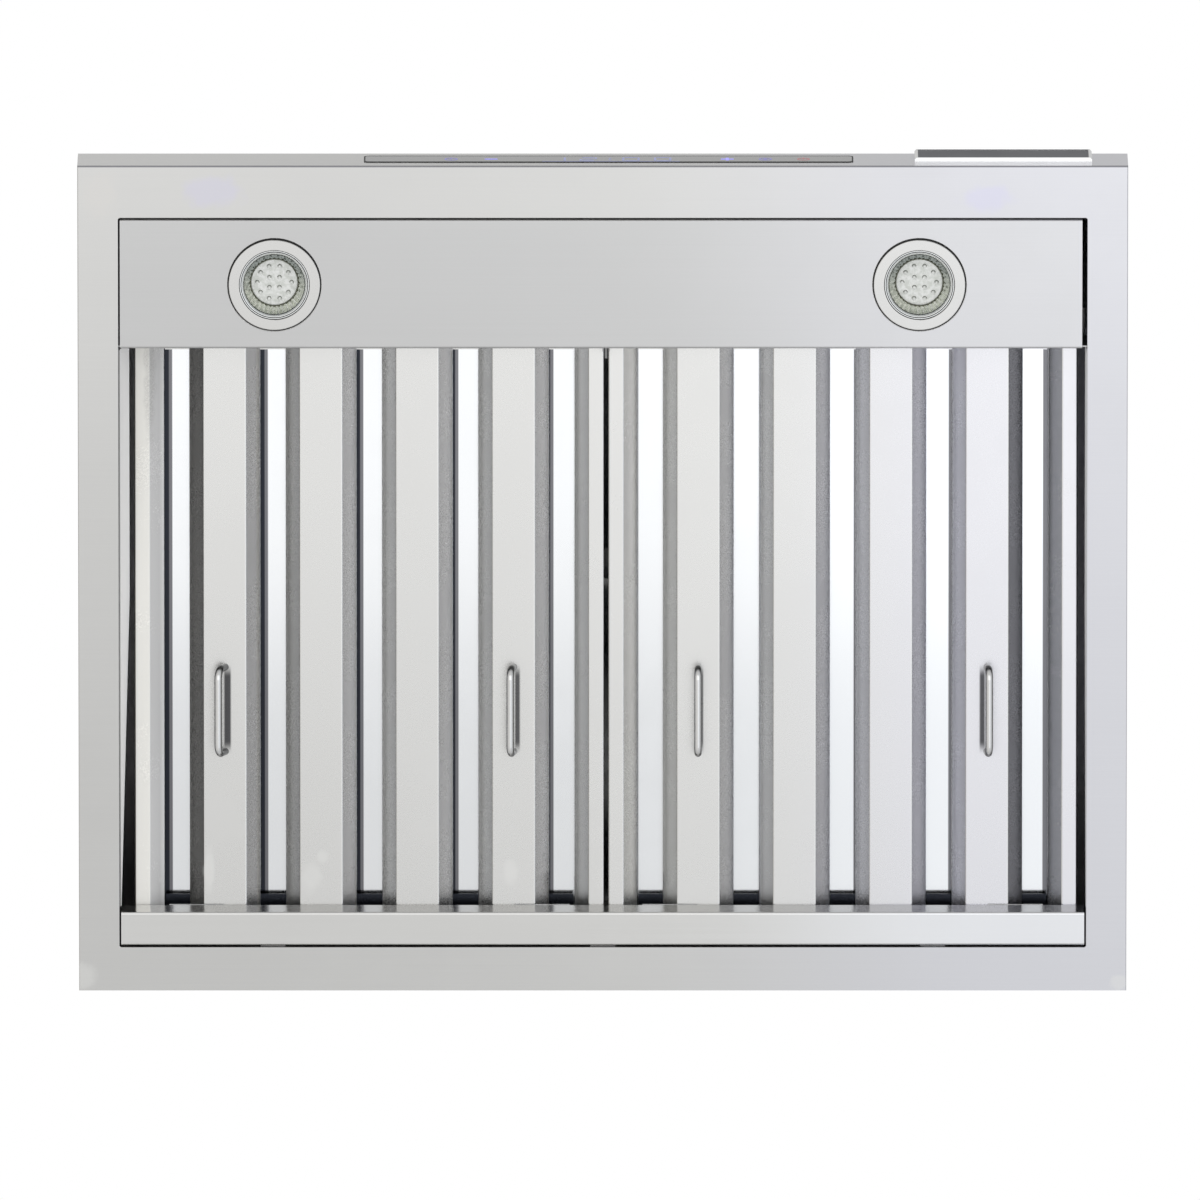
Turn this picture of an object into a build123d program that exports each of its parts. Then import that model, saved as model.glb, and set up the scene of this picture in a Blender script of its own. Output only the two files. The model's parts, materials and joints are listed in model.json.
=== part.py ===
from build123d import *
import math
import os

# Wall mount range hood, 30 inch class, in millimetres.
# X runs to the right as seen from the front, Y runs into the wall, Z is up.
# The wall plane is y = 0, the lower rim plane is z = 0, and x = 0 is the middle.

# Canopy
hood_width = 762.0
hood_depth = 610.0
band_height = 50.0
canopy_height = 250.0
neck_width = 320.0
neck_depth = 280.0
sheet = 1.0
neck_flange = 14.0
fold_edge = 0.8

# Lower rim and its opening
rim_side = 29.5
rim_front = 38.5
rim_rear = 32.0
rim_return = 11.0
opening_corner = 1.5
opening_edge = 0.5

# Back panel and its wall screw holes
wall_hole_radius = 4.0
wall_hole_spacing_x = 360.0
wall_hole_spacing_z = 100.0
wall_hole_height = 130.0

# Light panel and the divider behind it
panel_gap = 1.2
panel_depth = 95.3
panel_rise = 1.0
panel_rear_flange = 28.0
panel_end_flange = 12.0
panel_right_ease = 2.4
divider_height = 72.0
divider_lift = 3.0
divider_ear = 20.0
divider_ear_height = 45.0
divider_top_flange = 15.0

# Side liners of the opening
liner_lean_left = 7.6
liner_lean_right = 1.2
liner_height_front = 22.0
liner_height_rear = 4.0
liner_straight_share = 0.45
liner_foot = 10.0
liner_end_gap = 1.0
liner_bend = 0.2

# Baffle filters
filter_tilt = 3.0
filter_side_gap = 8.7
filter_offset = 2.4
filter_spacing = 3.0
filter_rest_setback = 0.4
filter_edge_face = 11.05
filter_height = 28.0
filter_sheet = 0.8
filter_bend = 0.5
filter_overhang = 9.0
filter_flange = 12.0
front_gap = 1.6
baffle_count = 4
baffle_face = 30.8
baffle_slope_run = 10.3
baffle_slope_rise = 12.0
baffle_lip = 4.0
upper_baffle_width = 34.0
upper_baffle_lip = 6.0
upper_baffle_rise = 9.5
upper_baffle_foot = 9.0
filter_rear_flange = 14.0
filter_front_flange = 7.0
drain_hole_radius = 2.5

# Wire handles of the filters
handle_wire = 5.4
handle_length = 67.4
handle_reach = 18.0
handle_bend = 7.0
handle_setback = 143.0
handle_faces = (0, 3)
handle_leans = {-1: (-4.8, -2.5), 1: (-0.3, 1.5)}

# Rest rail, catches, drip tray and clips
rest_clearance = 0.3
rail_sheet = 1.0
rail_wall_gap = 2.2
rail_height = 32.0
tab_width = 40.0
tab_inset = 45.0
catch_width = 16.0
catch_height = 20.0
catch_sheet = 0.6
catch_bulge = 0.6
catch_drop = 15.0
catch_spread = 100.0
tongue_width = 1.8
tongue_length = 9.0
tongue_height = 18.0
tray_gap = 1.2
tray_bottom = 24.3
tray_flare = 3.5
tray_lip_height = 11.0
tray_rear_height = 9.5
tray_rise = 1.0
tray_sheet = 1.0
tray_bend = 1.0
tray_drop_gap = 0.8
clip_width = 18.0
clip_sheet = 0.6
clip_leg = 7.0
clip_inset = 110.3
clip_clearance = 0.3
clip_seat = 0.1

# Lamps
lamp_inset = 147.0
lamp_shift = -4.2
lamp_setback = 87.8
lamp_hole_radius = 34.6
lamp_ring_gap = 1.4
bezel_height = 2.6
bezel_window_radius = 25.5
bezel_edge = 0.5
lamp_flange_radius = 39.0
lamp_flange_height = 2.0
lamp_body_radius = 30.0
lamp_body_height = 34.0
lamp_wall = 1.5
reflector_flutes = 36
reflector_wall = 0.6
reflector_depth = 11.0
reflector_lift = 1.0
lens_radius = 17.3
lens_height = 3.0
lens_dome_radius = 1.7
lens_dome_lift = 0.3
outer_dome_count = 10
inner_dome_count = 4
outer_dome_share = 0.72
inner_dome_share = 0.30
outer_dome_angle = 18.0
inner_dome_angle = 45.0
fin_count = 12
fin_height = 9.0
fin_sheet = 1.2
fin_root = 0.2
spring_wire = 1.4
spring_reach = 13.0
spring_height = 15.0
spring_foot = 3.0
spring_bend = 2.5

# Touch control strip
control_offset = 4.3
control_width = 353.6
control_height = 25.0
control_center_z = 26.5
control_gap = 0.6
control_proud = 0.2
glass_thickness = 3.0
control_frame_margin = 9.0
control_frame_depth = 8.0
control_window_margin = 6.0
board_thickness = 1.6
board_end_gap = 2.0
board_edge_gap = 1.0
board_seat = 0.2
display_width = 100.0
display_edge_gap = 1.0
led_radius = 2.5
led_offsets = (-114.3, -85.3, 86.1, 113.7, 141.3)

# Badge plate, bare
badge_inset = 90.4
badge_width = 128.6
badge_height = 34.0
badge_center_z = 26.0
badge_thickness = 4.5
badge_chamfer = 1.4
badge_rim = 1.0
badge_recess = 1.0
inlay_sink = 0.25

# Blower
blower_setback = 130.0
blower_drop = 57.0
blower_width = 200.0
scroll_radius = 100.0
scroll_step = 8.0
scroll_tongue = 42.0
scroll_rise = 80.0
outlet_flange = 10.0
inlet_radius = 72.0
inlet_lip = 5.0
impeller_radius = 92.0
impeller_inner_radius = 78.0
impeller_side_gap = 8.0
blade_count = 36
blade_sheet = 0.8
blade_angle = 28.0
impeller_plate = 2.0
hub_radius = 14.0
hub_length = 40.0
shaft_radius = 5.0
shaft_clearance = 0.05
shaft_engagement = 30.0
motor_radius = 46.0
motor_length = 72.0
motor_edge = 3.0
motor_hub_gap = 12.0
shaft_end_gap = 1.0
shaft_overhang = 4.0
motor_boss_radius = 12.0
motor_boss_length = 6.0
motor_cap_radius = 38.0
motor_cap_length = 5.0
bracket_plate = 3.0
bracket_arm_width = 14.0
bracket_arm_radius = 94.0
bracket_ring = 8.0
bracket_screw_radius = 87.0
hanger_sheet = 1.5
hanger_bend = 1.0
hanger_length = 150.0
hanger_leg = 16.0
hanger_rise = 24.0

# Top plate, outlet adapter, duct collar and dampers
top_plate_sheet = 1.2
top_plate_gap = 2.0
top_plate_flange = 16.0
blower_cutout_gap = 3.0
adapter_height = 30.0
collar_radius = 75.0
collar_wall = 0.8
collar_height = 60.0
collar_flange = 8.0
collar_ear_gap = 1.0
damper_height = 26.0
damper_gap = 1.6
damper_plate = 0.8
damper_rod_radius = 2.0
damper_knuckle_radius = 3.4
damper_knuckle_length = 22.0
damper_knuckle_gap = 0.5
damper_running = 0.08
stop_width = 8.0
stop_reach = 4.0
stop_sheet = 1.0

# Electrical pieces
capacitor_radius = 17.0
capacitor_edge = 2.0
capacitor_length = 52.0
capacitor_inset = 101.0
capacitor_height = 58.0
strap_width = 12.0
strap_sheet = 0.8
strap_ear = 9.0
junction_width = 80.0
junction_height = 50.0
junction_depth = 44.0
junction_wall = 1.2
junction_inset = 126.0
junction_lift = 58.0
junction_lid = 1.2
junction_lid_lap = 1.0
junction_entry_radius = 9.0
driver_width = 120.0
driver_depth = 40.0
driver_height = 22.0
driver_edge = 3.0
driver_setback = 85.0
driver_ear = 8.0
driver_ear_sheet = 2.0
grommet_inset = 25.0
grommet_setback = 42.0
grommet_bore_radius = 5.0
grommet_radius = 8.0
grommet_lip = 2.5
grommet_length = 12.0

# Chimney covers
cover_height = 430.0
cover_sheet = 1.0
cover_bend = 1.0
cover_flange = 20.0
cover_clearance = 0.4
upper_cover_height = 430.0
upper_cover_lift = 220.0
vent_count = 6
vent_length = 90.0
vent_width = 4.0
vent_pitch = 11.0
vent_from_top = 40.0
vent_center = 150.0
ceiling_bracket_height = 34.0
ceiling_bracket_sheet = 1.5
ceiling_bracket_bend = 0.6
ceiling_bracket_ear = 46.0
ceiling_bracket_drop = 8.0
ceiling_hole_radius = 2.6
ceiling_hole_spread = 160.0
ceiling_joggle = 240.0
bracket_screw_drop = 6.0

# Screws
screw_radius = 2.0
screw_head_radius = 3.8
screw_head_height = 2.2
screw_tail = 3.0
screw_short_tail = 1.0

# Places worked out from the sizes above
half_width = hood_width / 2
open_x = half_width - rim_side
open_front = rim_front - hood_depth
open_rear = -rim_rear
panel_front = open_front + panel_gap
panel_rear = panel_front + panel_depth
panel_half = open_x - panel_gap
divider_face = panel_rear - sheet
tray_rear = open_rear - tray_gap
tray_front = tray_rear - tray_bottom
tray_lip_y = tray_front - tray_flare
tray_lip_z = tray_rise + tray_lip_height
rail_tab_z = tray_lip_z + tray_drop_gap
pivot_y = tray_lip_y - filter_rest_setback
filter_length = pivot_y + filter_overhang - panel_rear - front_gap
filter_width = open_x - filter_side_gap - filter_spacing / 2
baffle_pitch = (filter_width + baffle_face - 2 * filter_edge_face) / (baffle_count + 1)
filter_dip = filter_overhang * math.sin(math.radians(filter_tilt))
pivot_z = rail_tab_z + rail_sheet + rest_clearance + filter_dip
control_x = control_offset
band_face = -hood_depth
lamp_y = lamp_setback - hood_depth
lamp_places = [(side * (half_width - lamp_inset) + lamp_shift, lamp_y) for side in (-1, 1)]
blower_y = -blower_setback
blower_height = canopy_height - blower_drop
blower_half = blower_width / 2
scroll_front = -(3 * scroll_step + scroll_radius)
scroll_top = canopy_height + scroll_rise
plate_top = canopy_height + top_plate_sheet
grommet_offset = neck_width / 2 - grommet_inset
adapter_top = scroll_top + adapter_height
outlet_y = blower_y + (scroll_front + scroll_tongue) / 2
collar_top = adapter_top + collar_height
damper_z = adapter_top + damper_height
side_slope = (half_width - neck_width / 2) / (canopy_height - band_height)
front_slope = (hood_depth - neck_depth) / (canopy_height - band_height)


def block(x, y, z):
    """A box from its low and high values on each axis."""
    middle = [(low + high) / 2 for low, high in (x, y, z)]
    size = [high - low for low, high in (x, y, z)]
    return Pos(*middle) * Box(*size)


def rod(axis, radius, center, span):
    """A cylinder along X, Y or Z; center gives the other two places."""
    length = span[1] - span[0]
    middle = (span[0] + span[1]) / 2
    if axis == "x":
        return Pos(middle, center[0], center[1]) * Rot(0, 90, 0) * Cylinder(radius, length)
    if axis == "y":
        return Pos(center[0], middle, center[1]) * Rot(90, 0, 0) * Cylinder(radius, length)
    return Pos(center[0], center[1], middle) * Cylinder(radius, length)


def tube(axis, outer, inner, center, span):
    """A ring or sleeve along X, Y or Z."""
    return rod(axis, outer, center, span) - rod(axis, inner, center, span)


def to_space(axis, point, place):
    """Put a flat point on the plane square to an axis."""
    if axis == "x":
        return (place, point[0], point[1])
    if axis == "y":
        return (point[0], place, point[1])
    return (point[0], point[1], place)


def prism(axis, points, span):
    """A straight piece with a sharp-cornered section."""
    corners = [to_space(axis, point, span[0]) for point in points]
    face = make_face(Polyline(*corners, close=True).edges())
    return extrude(face, amount=span[1] - span[0], dir=to_space(axis, (0, 0), 1))


def offset_side(points, thickness):
    """The second side of a folded sheet, to the left of its first side."""
    normals = []
    for start, end in zip(points, points[1:]):
        length = math.dist(start, end)
        normals.append(((start[1] - end[1]) / length, (end[0] - start[0]) / length))
    far = []
    for index, point in enumerate(points):
        before = normals[max(index - 1, 0)]
        after = normals[min(index, len(normals) - 1)]
        share = thickness / (1 + before[0] * after[0] + before[1] * after[1])
        far.append((point[0] + (before[0] + after[0]) * share, point[1] + (before[1] + after[1]) * share))
    return far


def bend_radii(points, thickness, bend):
    """The radii at each bend on the first and on the second side."""
    near = []
    far = []
    for start, corner, end in zip(points, points[1:], points[2:]):
        turn = (corner[0] - start[0]) * (end[1] - corner[1]) - (corner[1] - start[1]) * (end[0] - corner[0])
        far_is_inside = (turn > 0) == (thickness > 0)
        outside = bend + abs(thickness)
        near.append(outside if far_is_inside else bend)
        far.append(bend if far_is_inside else outside)
    return near, far


def bent_line(axis, points, radii, place):
    """A line of straight runs with an arc at each bend."""
    corners = [to_space(axis, point, place) for point in points]
    if not radii:
        return Polyline(*corners)
    return FilletPolyline(*corners, radius=radii)


def folded(axis, points, thickness, bend, span):
    """A folded sheet: its first side is points, and it grows to the left of them."""
    far_points = offset_side(points, thickness)
    near_radii, far_radii = bend_radii(points, thickness, bend)
    near = bent_line(axis, points, near_radii, span[0])
    far = bent_line(axis, far_points, far_radii, span[0])
    first_end = Line(near @ 0, far @ 0)
    last_end = Line(near @ 1, far @ 1)
    edges = near.edges() + far.edges() + first_end.edges() + last_end.edges()
    return extrude(make_face(edges), amount=span[1] - span[0], dir=to_space(axis, (0, 0), 1))


def screw(axis, center, head_at, toward, grip):
    """A pan head screw; toward is +1 or -1, the way its shank points."""
    head_low = min(head_at, head_at - toward * screw_head_height)
    shank = sorted((head_at, head_at + toward * (grip + screw_tail)))
    head = rod(axis, screw_head_radius, center, (head_low, head_low + screw_head_height))
    return head + rod(axis, screw_radius, center, shank)


def screw_hole(axis, center, span):
    """The hole that a screw fills."""
    return rod(axis, screw_radius, center, span)


def fuse(pieces):
    """One solid from pieces that touch."""
    whole = pieces[0]
    for piece in pieces[1:]:
        whole = whole + piece
    return whole


# Places that several pieces share
top_screw_places = [
    (side * (neck_width / 2 - neck_flange / 2 - sheet), y)
    for side in (-1, 1)
    for y in (neck_flange / 2 - neck_depth, -neck_depth / 2, -neck_flange / 2 - sheet)
]
hanger_y = (blower_y + scroll_front + hanger_leg, blower_y + scroll_front + hanger_leg + hanger_length)
hanger_screw_places = [
    (side * (blower_half + sheet + hanger_leg * 0.6), y)
    for side in (-1, 1)
    for y in (hanger_y[0] + hanger_leg, hanger_y[1] - hanger_leg)
]
outlet_screw_places = [
    (side * (blower_half + sheet + outlet_flange / 2), outlet_y + step * (scroll_tongue - scroll_front) / 3)
    for side in (-1, 1)
    for step in (-1, 0, 1)
]
collar_screw_places = [(side * (collar_radius + collar_flange), outlet_y) for side in (-1, 1)]
cover_screw_places = [
    (y, plate_top + top_plate_flange / 2) for y in (-neck_depth * 0.8, -neck_depth * 0.2)
]
panel_screw_places = [
    (share * panel_half, panel_rise + panel_rear_flange * 0.7) for share in (-0.9, -0.3, 0.3, 0.9)
]
motor_screw_angles = (30.0, 150.0, 270.0)
upper_cover_bottom = canopy_height + upper_cover_lift
upper_cover_top = upper_cover_bottom + upper_cover_height
upper_half = neck_width / 2 - cover_sheet - cover_clearance
upper_front = -neck_depth + cover_sheet + cover_clearance
upper_rear = -cover_sheet - cover_clearance
bracket_top = upper_cover_top - ceiling_bracket_drop
bracket_screw_place = (-ceiling_bracket_ear * 0.6, bracket_top - bracket_screw_drop)


def frustum(bottom, top, z):
    """A tapered block between two rectangles, each (half width, front, rear)."""
    faces = []
    for (half, front, rear), height in zip((bottom, top), z):
        face = Rectangle(2 * half, rear - front)
        faces.append(Pos(0, (front + rear) / 2, height) * face)
    return loft(faces, ruled=True)


def make_canopy_shell():
    """Front band, side bands and the tapered hood above them, open at the back."""
    side_wall = sheet * math.hypot(1, side_slope)
    front_wall = sheet * math.hypot(1, front_slope)
    outer = block((-half_width, half_width), (-hood_depth, -sheet), (sheet, band_height))
    outer += frustum(
        (half_width, -hood_depth, -sheet),
        (neck_width / 2, -neck_depth, -sheet),
        (band_height, canopy_height),
    )
    inner = block(
        (sheet - half_width, half_width - sheet), (sheet - hood_depth, sheet), (0, band_height)
    )
    lip = canopy_height - sheet
    inner += frustum(
        (half_width - side_wall, front_wall - hood_depth, 0),
        (neck_width / 2 + side_slope * sheet - side_wall, front_wall - neck_depth - front_slope * sheet, 0),
        (band_height, lip),
    )
    neck_hole = block(
        (neck_flange - neck_width / 2, neck_width / 2 - neck_flange),
        (neck_flange - neck_depth, -neck_flange - sheet),
        (lip - sheet, canopy_height + sheet),
    )
    shell = outer - inner - neck_hole
    gap = control_gap
    shell -= block(
        (control_x - control_width / 2 - gap, control_x + control_width / 2 + gap),
        (band_face - sheet, band_face + 2 * sheet),
        (control_center_z - control_height / 2 - gap, control_center_z + control_height / 2 + gap),
    )
    for x, y in top_screw_places:
        shell -= screw_hole("z", (x, y), (lip - sheet, canopy_height + sheet))
    return shell


def is_inside_opening(point):
    """Whether a point lies within the opening, its edge included."""
    slack = sheet / 2
    inside_x = abs(point.X) < open_x + slack
    return inside_x and open_front - slack < point.Y < open_rear + slack


def make_bottom_frame():
    """The flat lower rim with its opening and two stiffening returns."""
    plate = block((-half_width, half_width), (-hood_depth, 0), (0, sheet))
    outer_edges = plate.edges().filter_by_position(Axis.Z, 0, 0)
    plate = fillet(outer_edges.sort_by(Axis.Y)[:-1], fold_edge)
    hole = block((-open_x, open_x), (open_front, open_rear), (-sheet, 2 * sheet))
    hole = fillet(hole.edges().filter_by(Axis.Z), opening_corner)
    plate -= hole
    rim_edges = [edge for edge in plate.edges().group_by(Axis.Z)[0] if is_inside_opening(edge.center())]
    plate = fillet(rim_edges, opening_edge)
    reach = open_x - opening_corner
    front = block((-reach, reach), (open_front - sheet, open_front), (sheet, sheet + rim_return))
    rear = block((-reach, reach), (open_rear, open_rear + sheet), (sheet, sheet + rim_return))
    return plate + front + rear


def make_back_panel():
    """The flat back with the four wall screw holes."""
    outline = (
        (-half_width, sheet),
        (half_width, sheet),
        (half_width, band_height),
        (neck_width / 2, canopy_height),
        (-neck_width / 2, canopy_height),
        (-half_width, band_height),
    )
    panel = prism("y", outline, (-sheet, 0))
    for side in (-1, 1):
        for step in (-1, 1):
            place = (side * wall_hole_spacing_x / 2, wall_hole_height + step * wall_hole_spacing_z / 2)
            panel -= rod("y", wall_hole_radius, place, (-2 * sheet, sheet))
    return panel


def make_top_plate():
    """The plate on the neck that carries the blower, with upturned sides."""
    half = neck_width / 2 - cover_sheet
    front = top_plate_gap - neck_depth
    rear = -top_plate_gap
    height = top_plate_flange + top_plate_sheet
    points = (
        (-half, canopy_height + height),
        (-half, canopy_height),
        (half, canopy_height),
        (half, canopy_height + height),
    )
    plate = folded("y", points, top_plate_sheet, cover_bend, (front, rear))
    gap = blower_cutout_gap
    plate -= block(
        (-blower_half - gap, blower_half + gap),
        (blower_y + scroll_front - gap, blower_y + scroll_radius + gap),
        (canopy_height - sheet, plate_top + sheet),
    )
    for x, y in top_screw_places:
        plate -= screw_hole("z", (x, y), (canopy_height - sheet, plate_top + sheet))
    for x, y in hanger_screw_places:
        plate -= screw_hole("z", (x, y), (canopy_height - sheet, plate_top + sheet))
    plate -= rod("z", grommet_radius, (grommet_offset, -grommet_setback), (canopy_height - 1, plate_top + 1))
    for y, z in cover_screw_places:
        plate -= screw_hole("x", (y, z), (-neck_width, neck_width))
    return plate


def make_light_panel():
    """The flat front panel of the opening, folded up at all four sides."""
    low = panel_rise
    points = (
        (panel_front, low + panel_end_flange),
        (panel_front, low),
        (panel_rear, low),
        (panel_rear, low + panel_rear_flange),
    )
    ends = (-panel_half, panel_half - panel_right_ease)
    panel = folded("x", points, sheet, fold_edge, ends)
    inside = (panel_front + sheet + fold_edge, panel_rear - 2 * sheet - fold_edge)
    for x in ((ends[0], ends[0] + sheet), (ends[1] - sheet, ends[1])):
        panel += block(x, inside, (low + sheet / 2, low + panel_end_flange))
    for x, y in lamp_places:
        panel -= rod("z", lamp_hole_radius, (x, y), (low - 1, low + sheet + 1))
    for x, z in panel_screw_places:
        panel -= screw_hole("y", (x, z), (panel_rear - 2 * sheet, panel_rear + sheet))
    return panel


def make_front_divider():
    """The cross wall behind the light panel, standing on the rim at both ends."""
    face = (divider_face - sheet, divider_face)
    wall = block((-panel_half, panel_half), face, (divider_lift, divider_height))
    for side in (-1, 1):
        ear = sorted((side * (panel_half - sheet), side * (open_x + divider_ear)))
        wall += block(ear, face, (divider_lift, divider_ear_height))
        foot = sorted((side * (open_x + sheet), side * (open_x + divider_ear)))
        wall += block(foot, face, (sheet, divider_lift))
        wall += block(foot, (face[0] - divider_ear / 2, face[1]), (sheet, 2 * sheet))
    flange = (face[0] - divider_top_flange, face[1])
    wall += block((-panel_half, panel_half), flange, (divider_height - sheet, divider_height))
    for x, z in panel_screw_places:
        wall -= screw_hole("y", (x, z), (face[0] - sheet, face[1] + sheet))
    return wall


def make_side_liner(side, lean):
    """The leaning side wall of the opening, lower towards the rear."""
    front = panel_rear + liner_end_gap
    rear = tray_lip_y - liner_end_gap
    points = [
        (side * (open_x - lean), sheet + liner_height_front),
        (side * open_x, sheet),
        (side * (open_x + liner_foot), sheet),
    ]
    if side > 0:
        points.reverse()
    return folded("y", points, -sheet, liner_bend, (front, rear))


def trim_liner(liner):
    """Cut the liner's upper edge down towards the rear."""
    front = panel_rear + liner_end_gap
    rear = tray_lip_y - liner_end_gap
    kink = front + liner_straight_share * (rear - front)
    top = sheet + liner_height_front
    cut = (
        (kink, top),
        (rear + sheet, sheet + liner_height_rear),
        (rear + sheet, top + 2 * sheet),
        (kink, top + 2 * sheet),
    )
    return liner - prism("x", cut, (-half_width, half_width))


def filter_middle(side):
    """The middle of a filter across the hood."""
    return filter_offset + side * (filter_spacing + filter_width) / 2


def filter_place(side):
    """Where a filter's own frame sits: its pivot line, with the front end raised."""
    middle = filter_middle(side)
    return Pos(middle, pivot_y, pivot_z) * Rot(-filter_tilt, 0, 0)


filter_front = filter_overhang - filter_length
slot_half = (baffle_pitch - baffle_face) / 2 - baffle_slope_run
flange_z = baffle_slope_rise + baffle_lip
face_places = [(index - (baffle_count - 1) / 2) * baffle_pitch for index in range(baffle_count)]
slot_places = [(index - baffle_count / 2) * baffle_pitch for index in range(baffle_count + 1)]


def lower_profile(middle):
    """The section of one lower baffle, open at the top."""
    outer = baffle_face / 2 + baffle_slope_run
    return (
        (middle - outer, flange_z),
        (middle - outer, baffle_slope_rise),
        (middle - baffle_face / 2, 0),
        (middle + baffle_face / 2, 0),
        (middle + outer, baffle_slope_rise),
        (middle + outer, flange_z),
    )


def make_lower_baffles(side):
    """The four lower baffles of a filter."""
    span = (filter_front + filter_sheet, filter_overhang - filter_sheet)
    baffles = []
    for middle in face_places:
        baffles.append(folded("y", lower_profile(middle), filter_sheet, filter_bend, span))
    return [filter_place(side) * baffle for baffle in baffles]


def make_upper_baffles(side):
    """The five upper baffles, one above each slot, standing on the end flanges."""
    half = upper_baffle_width / 2
    top = flange_z + filter_sheet + upper_baffle_rise
    ends = (filter_front + filter_sheet, filter_overhang - filter_sheet)
    baffles = []
    for middle in slot_places:
        points = (
            (middle + half, top - upper_baffle_lip),
            (middle + half, top),
            (middle - half, top),
            (middle - half, top - upper_baffle_lip),
        )
        baffle = folded("y", points, filter_sheet, filter_bend, ends)
        for start in (ends[0], ends[1] - upper_baffle_foot):
            for edge in (-1, 1):
                inner = middle + edge * half
                outer = middle + edge * (half + filter_sheet)
                z = (flange_z + filter_sheet, top - upper_baffle_lip / 2)
                baffle += block(sorted((inner, outer)), (start, start + upper_baffle_foot), z)
        baffles.append(filter_place(side) * baffle)
    return baffles


def make_filter_frame(side):
    """The frame of a filter: side channels with half baffles, and end channels."""
    half = filter_width / 2
    outer_slot = abs(slot_places[0]) + slot_half
    span = (filter_front, filter_overhang)
    pieces = []
    for edge in (-1, 1):
        points = [
            (edge * (half - filter_flange), filter_height),
            (edge * half, filter_height),
            (edge * half, 0),
            (edge * (outer_slot + baffle_slope_run), 0),
            (edge * outer_slot, baffle_slope_rise),
            (edge * outer_slot, flange_z),
        ]
        pieces.append(folded("y", points, edge * -filter_sheet, filter_bend, span))
    inner = (filter_sheet - half, half - filter_sheet)
    ends = ((filter_front, 1, filter_front_flange), (filter_overhang, -1, filter_rear_flange))
    for end, inward, reach in ends:
        web = sorted((end, end + inward * filter_sheet))
        pieces.append(block(inner, web, (0, filter_height)))
        low = sorted((end, end + inward * reach))
        slots = (-outer_slot + filter_sheet, outer_slot - filter_sheet)
        pieces.append(block(slots, low, (flange_z, flange_z + filter_sheet)))
        high = sorted((end, end + inward * filter_flange))
        pieces.append(block(inner, high, (filter_height - filter_sheet, filter_height)))
    frame = fuse(pieces)
    for middle in face_places:
        web = (filter_overhang - 2 * filter_sheet, filter_overhang + filter_sheet)
        frame -= rod("y", drain_hole_radius, (middle, filter_sheet + drain_hole_radius), web)
    return filter_place(side) * frame


def make_handles(side):
    """The two wire handles of a filter."""
    handles = []
    for index, lean in zip(handle_faces, handle_leans[side]):
        middle = face_places[index]
        start = -handle_setback - (handle_length - handle_wire) / 2
        end = start + handle_length - handle_wire
        drop = handle_wire / 2 - handle_reach
        foot = middle + lean * handle_wire / drop
        path = FilletPolyline(
            (foot, start, handle_wire),
            (middle + lean, start, drop),
            (middle + lean, end, drop),
            (foot, end, handle_wire),
            radius=handle_bend,
        )
        section = Plane(origin=path @ 0, z_dir=path % 0) * Circle(handle_wire / 2)
        wire = sweep(section, path=path)
        wire -= block(grown((foot, foot), handle_length), grown((start, end), handle_wire), (0, 2 * handle_wire))
        handles.append(filter_place(side) * wire)
    return handles


def make_rest_rail():
    """The rail that carries the filters' rear edges, fixed to the back panel."""
    wall_y = pivot_y + filter_overhang + filter_height * math.sin(math.radians(filter_tilt)) + rail_wall_gap
    points = (
        (wall_y, rail_tab_z),
        (wall_y, rail_tab_z + rail_height),
        (-sheet, rail_tab_z + rail_height),
    )
    rail = folded("x", points, -rail_sheet, filter_bend, (-panel_half, panel_half))
    for side in (-1, 1):
        middle = filter_middle(side)
        reach = filter_width / 2 - tab_inset
        for place in (middle - reach, middle + reach):
            tab_x = (place - tab_width / 2, place + tab_width / 2)
            rail += block(tab_x, (pivot_y, wall_y + rail_sheet / 2), (rail_tab_z, rail_tab_z + rail_sheet))
    return rail


def make_catches():
    """Leaf catches for the filters' front ends, and the tongue between the filters."""
    front_edge_z = pivot_z + (filter_length - filter_overhang) * math.sin(math.radians(filter_tilt))
    top = front_edge_z + filter_height
    pieces = []
    for side in (-1, 1):
        middle = filter_middle(side)
        for step in (-1, 1):
            low = top - catch_drop - catch_height / 2
            third = catch_height / 3
            points = (
                (divider_face, low),
                (divider_face, low + catch_height),
                (divider_face + catch_sheet, low + catch_height),
                (divider_face + catch_sheet + catch_bulge, low + 2 * third),
                (divider_face + catch_sheet + catch_bulge, low + third),
                (divider_face + catch_sheet, low),
            )
            place = middle + step * catch_spread
            pieces.append(prism("x", points, (place - catch_width / 2, place + catch_width / 2)))
    tongue_y = (panel_rear, panel_rear + tongue_length)
    tongue_z = (panel_rise + panel_rear_flange - tongue_height, panel_rise + panel_rear_flange)
    tongue_x = (filter_offset - tongue_width / 2, filter_offset + tongue_width / 2)
    pieces.append(block(tongue_x, tongue_y, tongue_z))
    return pieces


def make_drip_tray():
    """The grease tray along the rear, with its flared front lip."""
    points = (
        (tray_lip_y, tray_lip_z),
        (tray_front, tray_rise),
        (tray_rear, tray_rise),
        (tray_rear, tray_rise + tray_rear_height),
    )
    tray = folded("x", points, tray_sheet, tray_bend, (-panel_half, panel_half))
    cap = (
        (tray_lip_y + 0.5 * tray_sheet, tray_lip_z),
        (tray_front + 0.5 * tray_sheet, tray_rise + 0.5 * tray_sheet),
        (tray_rear - 0.5 * tray_sheet, tray_rise + 0.5 * tray_sheet),
        (tray_rear - 0.5 * tray_sheet, tray_rise + tray_rear_height),
    )
    for side in (-1, 1):
        tray += prism("x", cap, sorted((side * panel_half, side * (panel_half - tray_sheet))))
    return tray


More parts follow.
